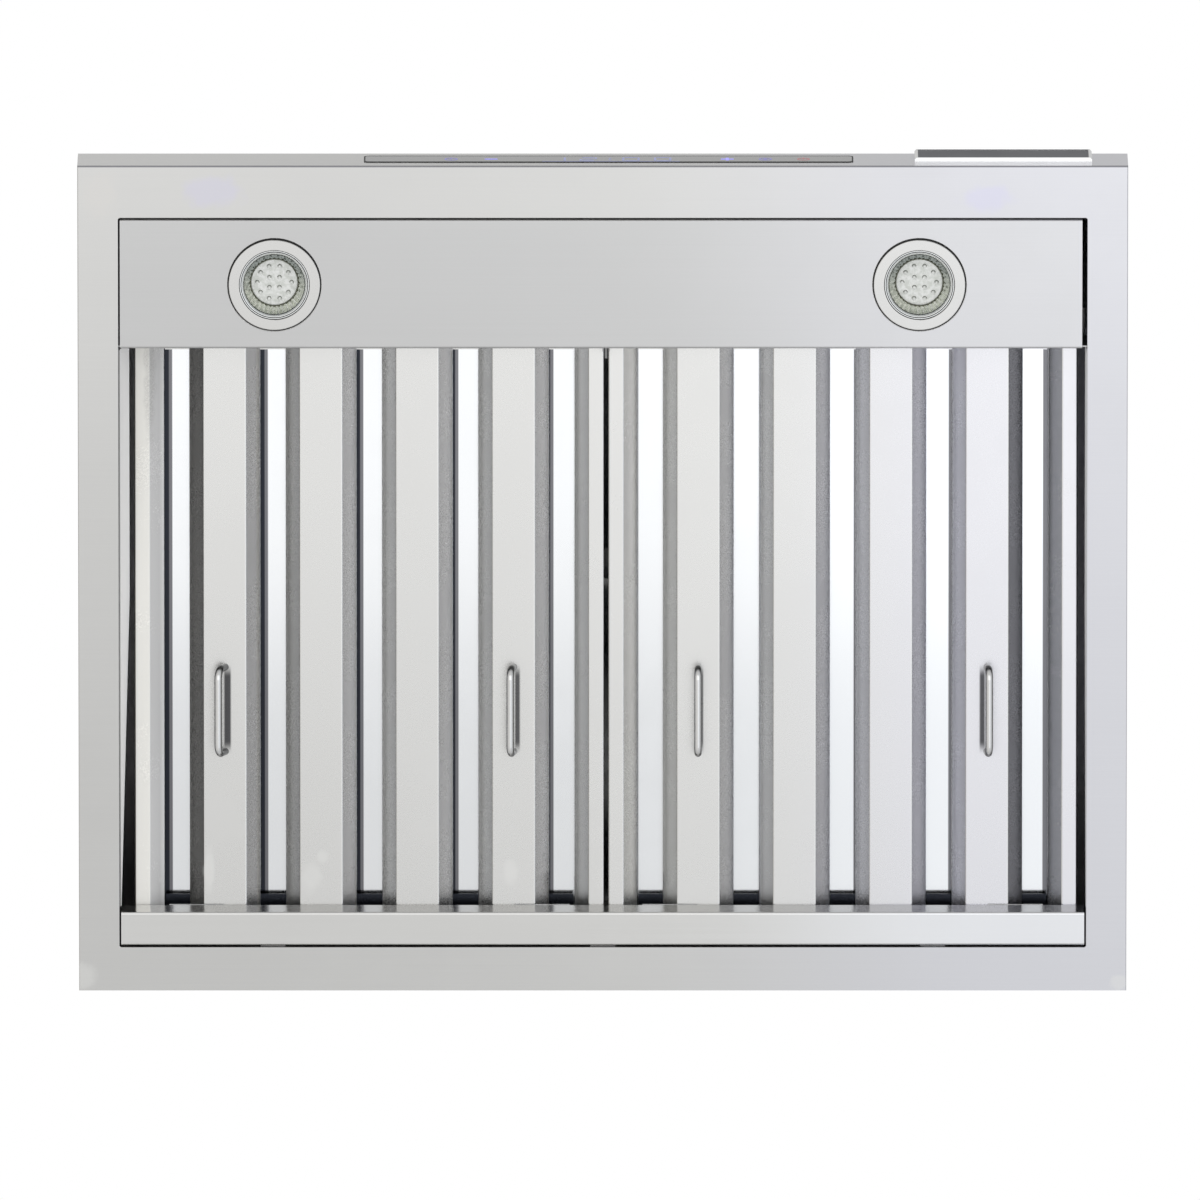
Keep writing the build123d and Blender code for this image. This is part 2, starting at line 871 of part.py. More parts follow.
def make_tray_clips():
    """Spring clips over the rim's rear return that hold the tray."""
    top = sheet + rim_return
    bump = tray_rear + clip_clearance
    clips = []
    clip_spread = panel_half - clip_inset
    for step in (-1, 0, 1):
        x = (step * clip_spread - clip_width / 2, step * clip_spread + clip_width / 2)
        inner = (open_rear - clip_seat, open_rear + sheet + clip_seat)
        points = (
            (inner[1], top - clip_leg),
            (inner[1], top + clip_seat),
            (inner[0], top + clip_seat),
            (inner[0], top - clip_leg),
        )
        clip = folded("x", points, -clip_sheet, 0.5 * clip_seat, x)
        nose = (
            (inner[0], top - clip_leg * 0.2),
            (bump, top - clip_leg * 0.4),
            (bump, top - clip_leg * 0.7),
            (inner[0], top - clip_leg),
        )
        clips.append(clip + prism("x", nose, x))
    return clips


bezel_radius = lamp_hole_radius - lamp_ring_gap
panel_inside = panel_rise + sheet


def make_lamp_bezel(place):
    """The flat ring of a lamp, set in the panel's hole with a shadow gap."""
    ring = tube("z", bezel_radius, bezel_window_radius, place, (panel_inside - bezel_height, panel_inside))
    low_edges = ring.edges().group_by(Axis.Z)[0]
    return fillet(low_edges, bezel_edge)


def make_lamp_body(place):
    """The lamp's housing, with its flange on the panel and fins on top."""
    flange_top = panel_inside + lamp_flange_height
    top = panel_inside + lamp_body_height
    cavity = lamp_body_radius - lamp_wall
    body = tube("z", lamp_flange_radius, cavity, place, (panel_inside, flange_top))
    body += tube("z", lamp_body_radius, cavity, place, (panel_inside, top))
    body += rod("z", lamp_body_radius, place, (top - lamp_wall, top))
    for index in range(fin_count):
        step = lamp_body_radius * (2 * (index + 0.5) / fin_count - 1)
        reach = math.sqrt(lamp_body_radius**2 - step**2) * 0.96
        fin_x = (place[0] + step - fin_sheet / 2, place[0] + step + fin_sheet / 2)
        body += block(fin_x, (place[1] - reach, place[1] + reach), (top - fin_root, top + fin_height))
    return body


def make_lamp_reflector(place):
    """The fluted cone between the bezel's window and the lens."""
    wide = bezel_window_radius
    narrow = lens_radius
    low = panel_inside - bezel_height + reflector_lift
    high = low + reflector_depth
    faces = []
    for radius, height in ((wide, low), (narrow, high)):
        corners = []
        for index in range(2 * reflector_flutes):
            angle = math.pi * index / reflector_flutes
            size = radius - (0.9 * reflector_wall if index % 2 else 0.0)
            corners.append((place[0] + size * math.cos(angle), place[1] + size * math.sin(angle), height))
        faces.append(make_face(Polyline(*corners, close=True).edges()))
    inner = loft(faces, ruled=True)
    cone = Pos(place[0], place[1], (low + high) / 2) * Cone(
        wide + reflector_wall, narrow + reflector_wall, high - low
    )
    band = rod("z", bezel_window_radius, place, (low, high))
    return (cone & band) - inner


def make_lamp_lens(place):
    """The white lens disc with its ring of small domes, and the lamp's core."""
    low = panel_inside - bezel_height + reflector_lift + reflector_depth
    lens = rod("z", lens_radius, place, (low, low + lens_height))
    lens = fillet(lens.edges().group_by(Axis.Z)[0], lens_height * 0.4)
    rings = (
        (outer_dome_count, outer_dome_share, outer_dome_angle),
        (inner_dome_count, inner_dome_share, inner_dome_angle),
    )
    for count, share, first in rings:
        for index in range(count):
            angle = math.radians(90.0 + first + 360.0 * index / count)
            x = place[0] + share * lens_radius * math.cos(angle)
            y = place[1] + share * lens_radius * math.sin(angle)
            lens += Pos(x, y, low + lens_dome_lift) * Sphere(lens_dome_radius)
    core_top = panel_inside + lamp_body_height - lamp_wall
    lens += rod("z", lens_radius * 0.8, place, (low + lens_height, core_top))
    return lens


def make_lamp_springs():
    """The two wire springs of each lamp, from its housing down to the panel."""
    springs = []
    for x, y in lamp_places:
        for side in (-1, 1):
            start = x + side * (lamp_body_radius + spring_wire / 2)
            base = panel_inside + lamp_flange_height
            end = start + side * spring_reach
            path = FilletPolyline(
                (start, y, base),
                (start, y, base + spring_height),
                (end, y, base + spring_height * 0.5),
                (end + side * spring_foot, y, panel_inside + spring_wire / 2),
                radius=spring_bend,
            )
            section = Plane(origin=path @ 0, z_dir=path % 0) * Circle(spring_wire / 2)
            springs.append(sweep(section, path=path))
    return springs


control_x_span = (control_x - control_width / 2, control_x + control_width / 2)
control_z_span = (control_center_z - control_height / 2, control_center_z + control_height / 2)
glass_back = band_face - control_proud + glass_thickness
frame_back = band_face + sheet + control_frame_depth


def grown(span, amount):
    """A low and high pair, grown at both ends."""
    return (span[0] - amount, span[1] + amount)


def make_control_glass():
    """The touch glass, set in the band with a thin gap."""
    glass = block(control_x_span, (band_face - control_proud, glass_back), control_z_span)
    front = glass.edges().group_by(Axis.Y)[0]
    return chamfer(front, control_proud)


def make_control_frame():
    """The frame behind the band that holds the glass."""
    margin = control_frame_margin
    frame = block(
        grown(control_x_span, margin), (band_face + sheet, frame_back), grown(control_z_span, margin)
    )
    frame -= block(control_x_span, (band_face, glass_back), control_z_span)
    window = -control_window_margin
    frame -= block(
        grown(control_x_span, window), (band_face, frame_back + 1), grown(control_z_span, window)
    )
    return frame


def make_control_board():
    """The board behind the frame, with the lamps of the marks and the display."""
    y = (frame_back, frame_back + board_thickness)
    board = block(grown(control_x_span, -board_end_gap), y, grown(control_z_span, -board_edge_gap))
    part_y = (glass_back, frame_back + board_seat)
    for offset in led_offsets:
        board += rod("y", led_radius, (control_x + offset, control_center_z), part_y)
    display = (control_x - display_width / 2, control_x + display_width / 2)
    height = grown(control_z_span, -control_window_margin - display_edge_gap)
    board += block(display, part_y, height)
    return board


badge_middle = half_width - badge_inset
badge_x = (badge_middle - badge_width / 2, badge_middle + badge_width / 2)
badge_z = (badge_center_z - badge_height / 2, badge_center_z + badge_height / 2)
badge_face = band_face - badge_thickness


def make_badge_plate():
    """A bare raised plate with chamfered ends and a shallow pocket."""
    plate = block(badge_x, (badge_face, band_face), badge_z)
    front = plate.edges().group_by(Axis.Y)[0]
    ends = front.filter_by(Axis.Z)
    plate = chamfer(ends, badge_chamfer)
    plate -= block(
        grown(badge_x, -badge_rim - badge_chamfer),
        (badge_face - 1, badge_face + badge_recess),
        grown(badge_z, -badge_rim),
    )
    return plate


def make_badge_inlay():
    """The dark bare inlay of the badge plate."""
    return block(
        grown(badge_x, -badge_rim - badge_chamfer),
        (badge_face + inlay_sink, badge_face + badge_recess),
        grown(badge_z, -badge_rim),
    )


def scroll_outline(grow, place):
    """The blower's side outline: three arcs of growing radius and a straight outlet."""
    first = scroll_radius + grow
    second = first + scroll_step
    third = second + scroll_step
    step = scroll_step
    tongue = scroll_tongue + grow
    start_angle = math.acos(tongue / first)
    top = scroll_top - blower_height

    def at(y, z):
        return (place, blower_y + y, blower_height + z)

    def on_arc(center, radius, angle):
        return at(center[0] + radius * math.cos(angle), center[1] + radius * math.sin(angle))

    start = on_arc((0, 0), first, start_angle)
    rear = on_arc((0, 0), first, 0)
    bottom = on_arc((-step, 0), second, -math.pi / 2)
    front = on_arc((-step, step), third, math.pi)
    edges = [
        ThreePointArc(start, on_arc((0, 0), first, start_angle / 2), rear),
        ThreePointArc(rear, on_arc((-step, 0), second, -math.pi / 4), bottom),
        ThreePointArc(bottom, on_arc((-step, step), third, -math.pi * 0.75), front),
        Line(front, at(-step - third, top)),
        Line(at(-step - third, top), at(tongue, top)),
        Line(at(tongue, top), start),
    ]
    return make_face(edges)


outlet_x = (-blower_half, blower_half)
outlet_span = (blower_y - 3 * scroll_step - scroll_radius, blower_y + scroll_tongue)


def make_blower_scroll():
    """The wrapper of the blower, with a flange round its outlet."""
    body = extrude(scroll_outline(0, -blower_half), amount=blower_width, dir=(1, 0, 0))
    body -= extrude(scroll_outline(-sheet, -blower_half), amount=blower_width, dir=(1, 0, 0))
    flange = block(
        grown(outlet_x, outlet_flange + sheet),
        grown(outlet_span, outlet_flange),
        (scroll_top - sheet, scroll_top),
    )
    flange -= block(grown(outlet_x, sheet), outlet_span, (scroll_top - 2 * sheet, scroll_top + sheet))
    body += flange
    for side in (-1, 1):
        strip = sorted((side * blower_half, side * (blower_half + sheet)))
        body += block(strip, outlet_span, (scroll_top - sheet, scroll_top))
    for x, y in outlet_screw_places:
        body -= screw_hole("z", (x, y), (scroll_top - 2 * sheet, scroll_top + sheet))
    inner = (outlet_span[0] + sheet, outlet_span[1] - sheet)
    body -= block(outlet_x, inner, (scroll_top - 2 * sheet, scroll_top + sheet))
    return body


def make_blower_side(side):
    """A side plate of the blower with its round inlet."""
    face = side * blower_half
    plate = extrude(scroll_outline(0, face), amount=sheet, dir=(side, 0, 0))
    center = (blower_y, blower_height)
    plate -= rod("x", inlet_radius, center, sorted((face - side * sheet, face + side * 2 * sheet)))
    lip_span = sorted((face - side * inlet_lip, face + side * sheet))
    plate += tube("x", inlet_radius + sheet, inlet_radius, center, lip_span)
    trim = sorted((face, face + side * 2 * sheet))
    plate -= block(trim, grown(outlet_span, sheet), (scroll_top - sheet, scroll_top + sheet))
    for x, y in hanger_screw_places:
        if x * side > 0:
            span = sorted((face - side * sheet, face + side * 2 * sheet))
            plate -= screw_hole("x", (y, hanger_z), span)
    if side > 0:
        for angle in motor_screw_angles:
            plate -= screw_hole("x", around_shaft(bracket_screw_radius, angle), (face - 1, face + 2))
    return plate


def around_shaft(radius, angle):
    """A place in the side view at a radius and an angle from the shaft."""
    turn = math.radians(angle)
    return (blower_y + radius * math.cos(turn), blower_height + radius * math.sin(turn))


hanger_z = plate_top + hanger_sheet + hanger_rise * 0.6


def make_hangers():
    """The two angles that hang the blower on the top plate."""
    hangers = []
    for side in (-1, 1):
        near = side * (blower_half + sheet)
        points = [
            (near + side * hanger_leg, plate_top),
            (near, plate_top),
            (near, plate_top + hanger_rise),
        ]
        hanger = folded("y", points, -side * hanger_sheet, hanger_bend, hanger_y)
        for x, y in hanger_screw_places:
            if x * side > 0:
                hanger -= screw_hole("z", (x, y), (plate_top - 1, plate_top + hanger_sheet + 1))
                span = sorted((near - side, near + side * (hanger_sheet + 1)))
                hanger -= screw_hole("x", (y, hanger_z), span)
        hangers.append(hanger)
    return hangers


def make_impeller():
    """The double inlet wheel: middle plate, blades, end rings and hub."""
    center = (blower_y, blower_height)
    half = blower_half - impeller_side_gap
    plate = impeller_plate / 2
    wheel = rod("x", impeller_radius, center, (-plate, plate))
    wheel += rod("x", hub_radius, center, (-hub_length / 2, hub_length / 2))
    for side in (-1, 1):
        ring = sorted((side * half, side * (half - impeller_plate)))
        wheel += tube("x", impeller_radius, impeller_inner_radius, center, ring)
    middle = (impeller_radius + impeller_inner_radius) / 2
    chord = (impeller_radius - impeller_inner_radius) * 0.95
    blade = Pos(0, middle, 0) * Rot(blade_angle, 0, 0) * Box(2 * half - impeller_plate, chord, blade_sheet)
    blades = []
    for index in range(blade_count):
        blades.append(Pos(0, *center) * Rot(360.0 * index / blade_count, 0, 0) * blade)
    wheel = wheel + blades
    return wheel - rod("x", shaft_radius, center, (-hub_length, hub_length))


motor_near = hub_length / 2 + motor_hub_gap + motor_boss_length
motor_far = motor_near + motor_length


def make_motor():
    """The motor inside the right inlet, with its boss and end cap."""
    center = (blower_y, blower_height)
    body = rod("x", motor_radius, center, (motor_near, motor_far))
    body = chamfer(body.edges().filter_by(GeomType.CIRCLE), motor_edge)
    body += rod("x", motor_boss_radius, center, (motor_near - motor_boss_length, motor_near))
    body += rod("x", motor_cap_radius, center, (motor_far, motor_far + motor_cap_length))
    bore_end = motor_near + shaft_engagement
    bore = (motor_near - motor_boss_length - 1, bore_end)
    return body - rod("x", shaft_radius + shaft_clearance, center, bore)


def make_motor_shaft():
    """The shaft from the motor through the wheel's hub."""
    start = -hub_length / 2 - shaft_overhang
    end = motor_near + shaft_engagement - shaft_end_gap
    return rod("x", shaft_radius, (blower_y, blower_height), (start, end))


def make_motor_bracket():
    """The ring and three arms that hold the motor in the inlet."""
    center = (blower_y, blower_height)
    near = blower_half + sheet
    ring_span = (near, near + bracket_plate)
    bracket = tube("x", motor_radius + bracket_ring, motor_radius, center, ring_span)
    for angle in motor_screw_angles:
        reach = (motor_radius + bracket_arm_radius) / 2
        length = bracket_arm_radius - motor_radius - bracket_ring / 2
        arm = Pos(0, reach + bracket_ring / 4, 0) * Box(bracket_plate, length, bracket_arm_width)
        place = Pos(near + bracket_plate / 2, *center) * Rot(angle, 0, 0)
        bracket += place * arm
    for angle in motor_screw_angles:
        span = (near - 1, near + bracket_plate + 1)
        bracket -= screw_hole("x", around_shaft(bracket_screw_radius, angle), span)
    return bracket


def make_outlet_adapter():
    """The box on the outlet that carries the round collar."""
    box = block(outlet_x, outlet_span, (scroll_top, adapter_top))
    inner = (sheet - blower_half, blower_half - sheet)
    box -= block(inner, grown(outlet_span, -sheet), (scroll_top - 1, adapter_top - sheet))
    flange = block(
        grown(outlet_x, outlet_flange + sheet),
        grown(outlet_span, outlet_flange),
        (scroll_top, scroll_top + sheet),
    )
    flange -= block(inner, grown(outlet_span, -sheet), (scroll_top - 1, scroll_top + 2 * sheet))
    box += flange
    box -= rod("z", collar_radius - collar_wall, (0, outlet_y), (adapter_top - 2, adapter_top + 1))
    for x, y in outlet_screw_places:
        box -= screw_hole("z", (x, y), (scroll_top - 1, scroll_top + 2 * sheet))
    for x, y in collar_screw_places:
        box -= screw_hole("z", (x, y), (adapter_top - 2, adapter_top + 1))
    return box


def make_duct_collar():
    """The round collar for the duct, with a base flange and two damper stops."""
    center = (0, outlet_y)
    inner = collar_radius - collar_wall
    collar = tube("z", collar_radius, inner, center, (adapter_top, collar_top))
    base = adapter_top + sheet
    collar += tube("z", collar_radius + collar_flange, inner, center, (adapter_top, base))
    for place in collar_screw_places:
        collar += rod("z", collar_flange - collar_ear_gap, place, (adapter_top, base))
    stop_top = damper_z - damper_plate / 2
    for side in (-1, 1):
        y = sorted((outlet_y + side * (inner - stop_reach), outlet_y + side * (inner + collar_wall / 2)))
        x = (-stop_width / 2, stop_width / 2)
        collar += block(x, y, (stop_top - stop_sheet, stop_top))
    collar -= rod("x", damper_rod_radius, (outlet_y, damper_z), (-collar_radius - 5, collar_radius + 5))
    for x, y in collar_screw_places:
        collar -= screw_hole("z", (x, y), (adapter_top - 1, base + 1))
    return collar


def make_damper_rod():
    """The rod across the collar that both flaps hang on."""
    reach = collar_radius - collar_wall / 2
    return rod("x", damper_rod_radius, (outlet_y, damper_z), (-reach, reach))


def make_damper_flap(side):
    """One half round flap: side -1 is the front one, +1 the rear one."""
    center = (0, outlet_y)
    radius = collar_radius - collar_wall - damper_gap
    z = (damper_z - damper_plate / 2, damper_z + damper_plate / 2)
    flap = rod("z", radius, center, z)
    root = outlet_y + side * (damper_knuckle_radius + damper_knuckle_gap)
    far = outlet_y + side * 2 * collar_radius
    flap &= block((-collar_radius, collar_radius), sorted((root, far)), grown(z, 1.0))
    places = (-0.65, 0.65) if side < 0 else (-0.25, 0.25)
    length = damper_knuckle_length
    for share in places:
        x = (share * radius - length / 2, share * radius + length / 2)
        flap += block(x, sorted((outlet_y, root + side * 0.5)), z)
        flap += rod("x", damper_knuckle_radius, (outlet_y, damper_z), x)
    bore = damper_rod_radius + damper_running
    return flap - rod("x", bore, (outlet_y, damper_z), (-collar_radius, collar_radius))


def make_capacitor():
    """The motor capacitor with its strap on the back panel."""
    middle = (capacitor_inset - half_width, -sheet - capacitor_radius)
    high = capacitor_height + capacitor_length
    body = rod("z", capacitor_radius, middle, (capacitor_height, high))
    body = fillet(body.edges().filter_by(GeomType.CIRCLE), capacitor_edge)
    band = (capacitor_height + capacitor_length / 2 - strap_width / 2,)
    band += (band[0] + strap_width,)
    strap = tube("z", capacitor_radius + strap_sheet, capacitor_radius, middle, band)
    wide = (middle[0] - 2 * capacitor_radius, middle[0] + 2 * capacitor_radius)
    strap &= block(wide, (middle[1] - 2 * capacitor_radius, middle[1]), band)
    for side in (-1, 1):
        near = middle[0] + side * capacitor_radius
        leg = sorted((near, near + side * strap_sheet))
        strap += block(leg, (middle[1], -sheet), band)
        ear = sorted((near, near + side * strap_ear))
        strap += block(ear, (-sheet - strap_sheet, -sheet), band)
    return [body, strap]


junction_offset = half_width - junction_inset
junction_x = (junction_offset - junction_width / 2, junction_offset + junction_width / 2)
junction_y = (-sheet - junction_depth, -sheet)
junction_z = (junction_lift, junction_lift + junction_height)


def make_junction_box():
    """The open terminal box on the back panel with its cable entry."""
    box = block(junction_x, junction_y, junction_z)
    wall = junction_wall
    hollow_y = (junction_y[0] - 1, junction_y[1] - wall)
    box -= block(grown(junction_x, -wall), hollow_y, grown(junction_z, -wall))
    entry = (junction_offset, (junction_y[0] + junction_y[1]) / 2)
    box -= rod("z", junction_entry_radius, entry, (junction_z[1] - 2 * wall, junction_z[1] + 1))
    return box


def make_junction_lid():
    """The lid of the terminal box, with a folded edge."""
    front = junction_y[0]
    lap = junction_lid_lap
    return block(grown(junction_x, lap), (front - junction_lid, front), grown(junction_z, lap))


def make_led_driver():
    """The lamp driver on the inside of the light panel."""
    middle_y = driver_setback - hood_depth
    x = (-driver_width / 2, driver_width / 2)
    y = (middle_y - driver_depth / 2, middle_y + driver_depth / 2)
    body = block(x, y, (panel_inside, panel_inside + driver_height))
    body = fillet(body.edges().filter_by(Axis.Z), driver_edge)
    ears = (panel_inside, panel_inside + driver_ear_sheet)
    return body + block(grown(x, driver_ear), grown(y, -driver_ear), ears)


def make_grommet():
    """The cable grommet in the top plate."""
    center = (grommet_offset, -grommet_setback)
    middle = canopy_height + top_plate_sheet / 2
    ends = (middle - grommet_length / 2, middle + grommet_length / 2)
    grommet = rod("z", grommet_radius, center, ends)
    for low in (plate_top, canopy_height - grommet_lip):
        grommet += rod("z", grommet_radius + grommet_lip, center, (low, low + grommet_lip))
    return grommet - rod("z", grommet_bore_radius, center, grown(ends, 1.0))


def u_cover(half, front, rear, flange, z):
    """A chimney cover: front, two sides and narrow returns at the wall."""
    points = (
        (flange - half, rear),
        (-half, rear),
        (-half, front),
        (half, front),
        (half, rear),
        (half - flange, rear),
    )
    return folded("z", points, cover_sheet, cover_bend, z)


def make_chimney_lower():
    """The lower chimney cover, standing on the neck."""
    z = (canopy_height, canopy_height + cover_height)
    cover = u_cover(neck_width / 2, -neck_depth, 0, cover_flange, z)
    for y, height in cover_screw_places:
        cover -= screw_hole("x", (y, height), (-neck_width, neck_width))
    return cover


def make_chimney_upper():
    """The telescoping upper cover, with vent slots near its top."""
    z = (upper_cover_bottom, upper_cover_top)
    cover = u_cover(upper_half, upper_front, upper_rear, cover_flange - 2.0, z)
    for index in range(vent_count):
        height = upper_cover_top - vent_from_top - index * vent_pitch
        straight = (vent_length - vent_width) / 2
        ends = (-vent_center - straight, -vent_center + straight)
        x = (-neck_width, neck_width)
        slot = block(x, ends, (height - vent_width / 2, height + vent_width / 2))
        for y in ends:
            slot += rod("x", vent_width / 2, (y, height), x)
        cover -= slot
    cover -= screw_hole("x", bracket_screw_place, (-neck_width, neck_width))
    return cover


def make_ceiling_bracket():
    """The bracket that holds the upper cover to the wall."""
    thick = ceiling_bracket_sheet
    inner = upper_half - cover_sheet
    z = (bracket_top - ceiling_bracket_height, bracket_top)
    seat = upper_rear - cover_sheet
    joggle = ceiling_joggle / 2
    points = (
        (-inner, seat - ceiling_bracket_ear),
        (-inner, seat),
        (-joggle, seat),
        (3 * thick - joggle, 0),
        (joggle - 3 * thick, 0),
        (joggle, seat),
        (inner, seat),
        (inner, seat - ceiling_bracket_ear),
    )
    bracket = folded("z", points, -thick, ceiling_bracket_bend, z)
    for side in (-1, 1):
        hole = (side * ceiling_hole_spread / 2, (z[0] + z[1]) / 2)
        bracket -= rod("y", ceiling_hole_radius, hole, (-3 * thick, thick))
    return bracket - screw_hole("x", bracket_screw_place, (-neck_width, neck_width))


def make_blower_screws():
    """The screws of the top plate, the hangers and the motor bracket."""
    screws = []
    for x, y in top_screw_places:
        screws.append(screw("z", (x, y), plate_top, -1, top_plate_sheet + sheet))
    for x, y in hanger_screw_places:
        screws.append(screw("z", (x, y), plate_top + hanger_sheet, -1, hanger_sheet + top_plate_sheet))
        side = 1 if x > 0 else -1
        head = side * (blower_half + sheet + hanger_sheet)
        grip = hanger_sheet + sheet - screw_tail + screw_short_tail
        screws.append(screw("x", (y, hanger_z), head, -side, grip))
    head = blower_half + sheet + bracket_plate
    grip = bracket_plate + sheet - screw_tail + screw_short_tail
    for angle in motor_screw_angles:
        place = around_shaft(bracket_screw_radius, angle)
        screws.append(screw("x", place, head, -1, grip))
    return screws


def make_duct_screws():
    """The screws of the outlet adapter and the collar."""
    screws = []
    for x, y in outlet_screw_places:
        screws.append(screw("z", (x, y), scroll_top + sheet, -1, 2 * sheet))
    for x, y in collar_screw_places:
        screws.append(screw("z", (x, y), adapter_top + sheet, -1, 2 * sheet))
    return screws


def make_cover_screws():
    """The screws that hold the lower cover to the top plate."""
    screws = []
    for side in (-1, 1):
        for place in cover_screw_places:
            grip = cover_sheet + top_plate_sheet
            screws.append(screw("x", place, side * neck_width / 2, -side, grip))
    return screws


def make_panel_screws():
    """The screws that hold the light panel to the divider."""
    screws = []
    for place in panel_screw_places:
        screws.append(screw("y", place, divider_face - sheet, 1, 2 * sheet - screw_tail))
    return screws


def make_bracket_screws():
    """The two screws that hold the upper cover to its bracket."""
    screws = []
    for side in (-1, 1):
        grip = cover_sheet + ceiling_bracket_sheet
        screws.append(screw("x", bracket_screw_place, side * upper_half, -side, grip))
    return screws


def build_nodes():
    """Every node's name with its solid or solids."""
    left_lamp, right_lamp = lamp_places
    nodes = {
        "canopy_shell": make_canopy_shell(),
        "bottom_frame": make_bottom_frame(),
        "back_panel": make_back_panel(),
        "top_plate": make_top_plate(),
        "light_panel": make_light_panel(),
        "front_divider": make_front_divider(),
        "side_liner_left": trim_liner(make_side_liner(-1, liner_lean_left)),
        "side_liner_right": trim_liner(make_side_liner(1, liner_lean_right)),
        "filter_rest_rail": make_rest_rail(),
        "filter_catches": make_catches(),
        "drip_tray": make_drip_tray(),
        "tray_clips": make_tray_clips(),
        "lamp_springs": make_lamp_springs(),
        "control_glass": make_control_glass(),
        "control_frame": make_control_frame(),
        "control_board": make_control_board(),
        "badge_plate": make_badge_plate(),
        "badge_inlay": make_badge_inlay(),
        "blower_scroll": make_blower_scroll(),
        "blower_side_left": make_blower_side(-1),
        "blower_side_right": make_blower_side(1),
        "blower_hangers": make_hangers(),
        "impeller": make_impeller(),
        "motor": make_motor(),
        "motor_shaft": make_motor_shaft(),
        "motor_bracket": make_motor_bracket(),
        "outlet_adapter": make_outlet_adapter(),
        "duct_collar": make_duct_collar(),
        "damper_rod": make_damper_rod(),
        "damper_flap_front": make_damper_flap(-1),
        "damper_flap_rear": make_damper_flap(1),
        "capacitor": make_capacitor(),
        "junction_box": make_junction_box(),
        "junction_box_lid": make_junction_lid(),
        "led_driver": make_led_driver(),
        "cable_grommet": make_grommet(),
        "chimney_lower": make_chimney_lower(),
        "chimney_upper": make_chimney_upper(),
        "ceiling_bracket": make_ceiling_bracket(),
        "blower_screws": make_blower_screws(),
        "duct_screws": make_duct_screws(),
        "cover_screws": make_cover_screws(),
        "panel_screws": make_panel_screws(),
        "bracket_screws": make_bracket_screws(),
    }
    for name, side in (("left", -1), ("right", 1)):
        lamp = left_lamp if side < 0 else right_lamp
        nodes["filter_frame_" + name] = make_filter_frame(side)
        nodes["lower_baffles_" + name] = make_lower_baffles(side)
        nodes["upper_baffles_" + name] = make_upper_baffles(side)
        nodes["filter_handles_" + name] = make_handles(side)
        nodes["lamp_bezel_" + name] = make_lamp_bezel(lamp)
        nodes["lamp_body_" + name] = make_lamp_body(lamp)
        nodes["lamp_reflector_" + name] = make_lamp_reflector(lamp)
        nodes["lamp_lens_" + name] = make_lamp_lens(lamp)
    return nodes


def main():
    os.makedirs("parts", exist_ok=True)
    for name, shape in build_nodes().items():
        if isinstance(shape, list):
            shape = Compound(children=shape)
        export_step(shape, "parts/" + name + ".step")


main()
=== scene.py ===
import json
import math

import bmesh
import bpy
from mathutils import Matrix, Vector


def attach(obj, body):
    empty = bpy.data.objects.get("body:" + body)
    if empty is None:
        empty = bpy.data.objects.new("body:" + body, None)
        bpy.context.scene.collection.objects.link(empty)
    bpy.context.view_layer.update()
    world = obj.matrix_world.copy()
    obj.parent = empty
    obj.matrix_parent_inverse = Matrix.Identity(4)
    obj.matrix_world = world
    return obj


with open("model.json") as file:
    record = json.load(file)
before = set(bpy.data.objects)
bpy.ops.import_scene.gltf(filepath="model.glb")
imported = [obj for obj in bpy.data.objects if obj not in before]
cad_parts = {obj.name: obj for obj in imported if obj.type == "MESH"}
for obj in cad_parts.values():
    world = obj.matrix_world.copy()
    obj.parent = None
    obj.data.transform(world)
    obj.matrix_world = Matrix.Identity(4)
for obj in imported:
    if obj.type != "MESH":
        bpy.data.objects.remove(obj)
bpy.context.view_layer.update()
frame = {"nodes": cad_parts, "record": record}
nodes = frame["nodes"]


# Places and sizes on the hood, in metres

hood_front = -0.610
lamp_places = {"left": (-0.2382, -0.5222), "right": (0.2298, -0.5222)}

baffle_pitch = 0.070
slot_width = 0.0186
slope_run = 0.0103
left_slot = -0.31905
right_slot = 0.02525
filter_gap = 0.0024
flange_front = -0.0785
flange_low = 0.0200

strip_middle = (0.0043, 0.0265)
strip_face = -0.6102
mark_lift = 0.00012
mark_depth = 0.0003
over_mark_lift = 0.00014

# Painted shadow strips inside the slots: x and a width, with straight runs in between

slot_shadow_widths = ((-0.33, 0.0061), (-0.20, 0.0053), (-0.03, 0.0032), (0.02, 0.0008), (0.09, -0.0010))
far_shadow_widths = ((0.11, 0.0), (0.18, 0.0012), (0.25, 0.0022), (0.32, 0.0036))
slot_shadow_border = 0.0024

# Painted light and shade on the slopes that face right (climb) and left (fall): brightness along x and then
# across each slope

climb_light_levels = (
    (-0.319, 1.20), (-0.31, 1.68), (-0.27, 1.68), (-0.19, 1.46), (-0.04, 1.46),
    (0.0, 1.72), (0.03, 1.72), (0.08, 1.14), (0.24, 1.03), (0.285, 0.34),
)
fall_light_levels = (
    (-0.30, 0.18), (-0.226, 0.37), (-0.157, 0.51), (-0.02, 0.50),
    (0.05, 0.49), (0.11, 0.67), (0.27, 0.67), (0.31, 1.60),
)

climb_tint = (0.965, 0.98, 1.035)
climb_run = ((0.0, 0.76), (0.0068, 0.76), (0.0095, 0.95), (slope_run, 1.08))
fall_tint = (0.99, 0.98, 0.96)
fall_run = ((0.0, 2.80), (0.0022, 1.33), (slope_run, 0.98))


# Node tree helpers

def new_material(name):
    material = bpy.data.materials.new(name)
    material.use_nodes = True
    tree = material.node_tree
    tree.nodes.clear()
    output = tree.nodes.new("ShaderNodeOutputMaterial")
    return material, tree, output


def put(tree, target, value):
    """Links an input to a socket or gives it a value."""
    if isinstance(value, bpy.types.NodeSocket):
        tree.links.new(value, target)
    else:
        target.default_value = value


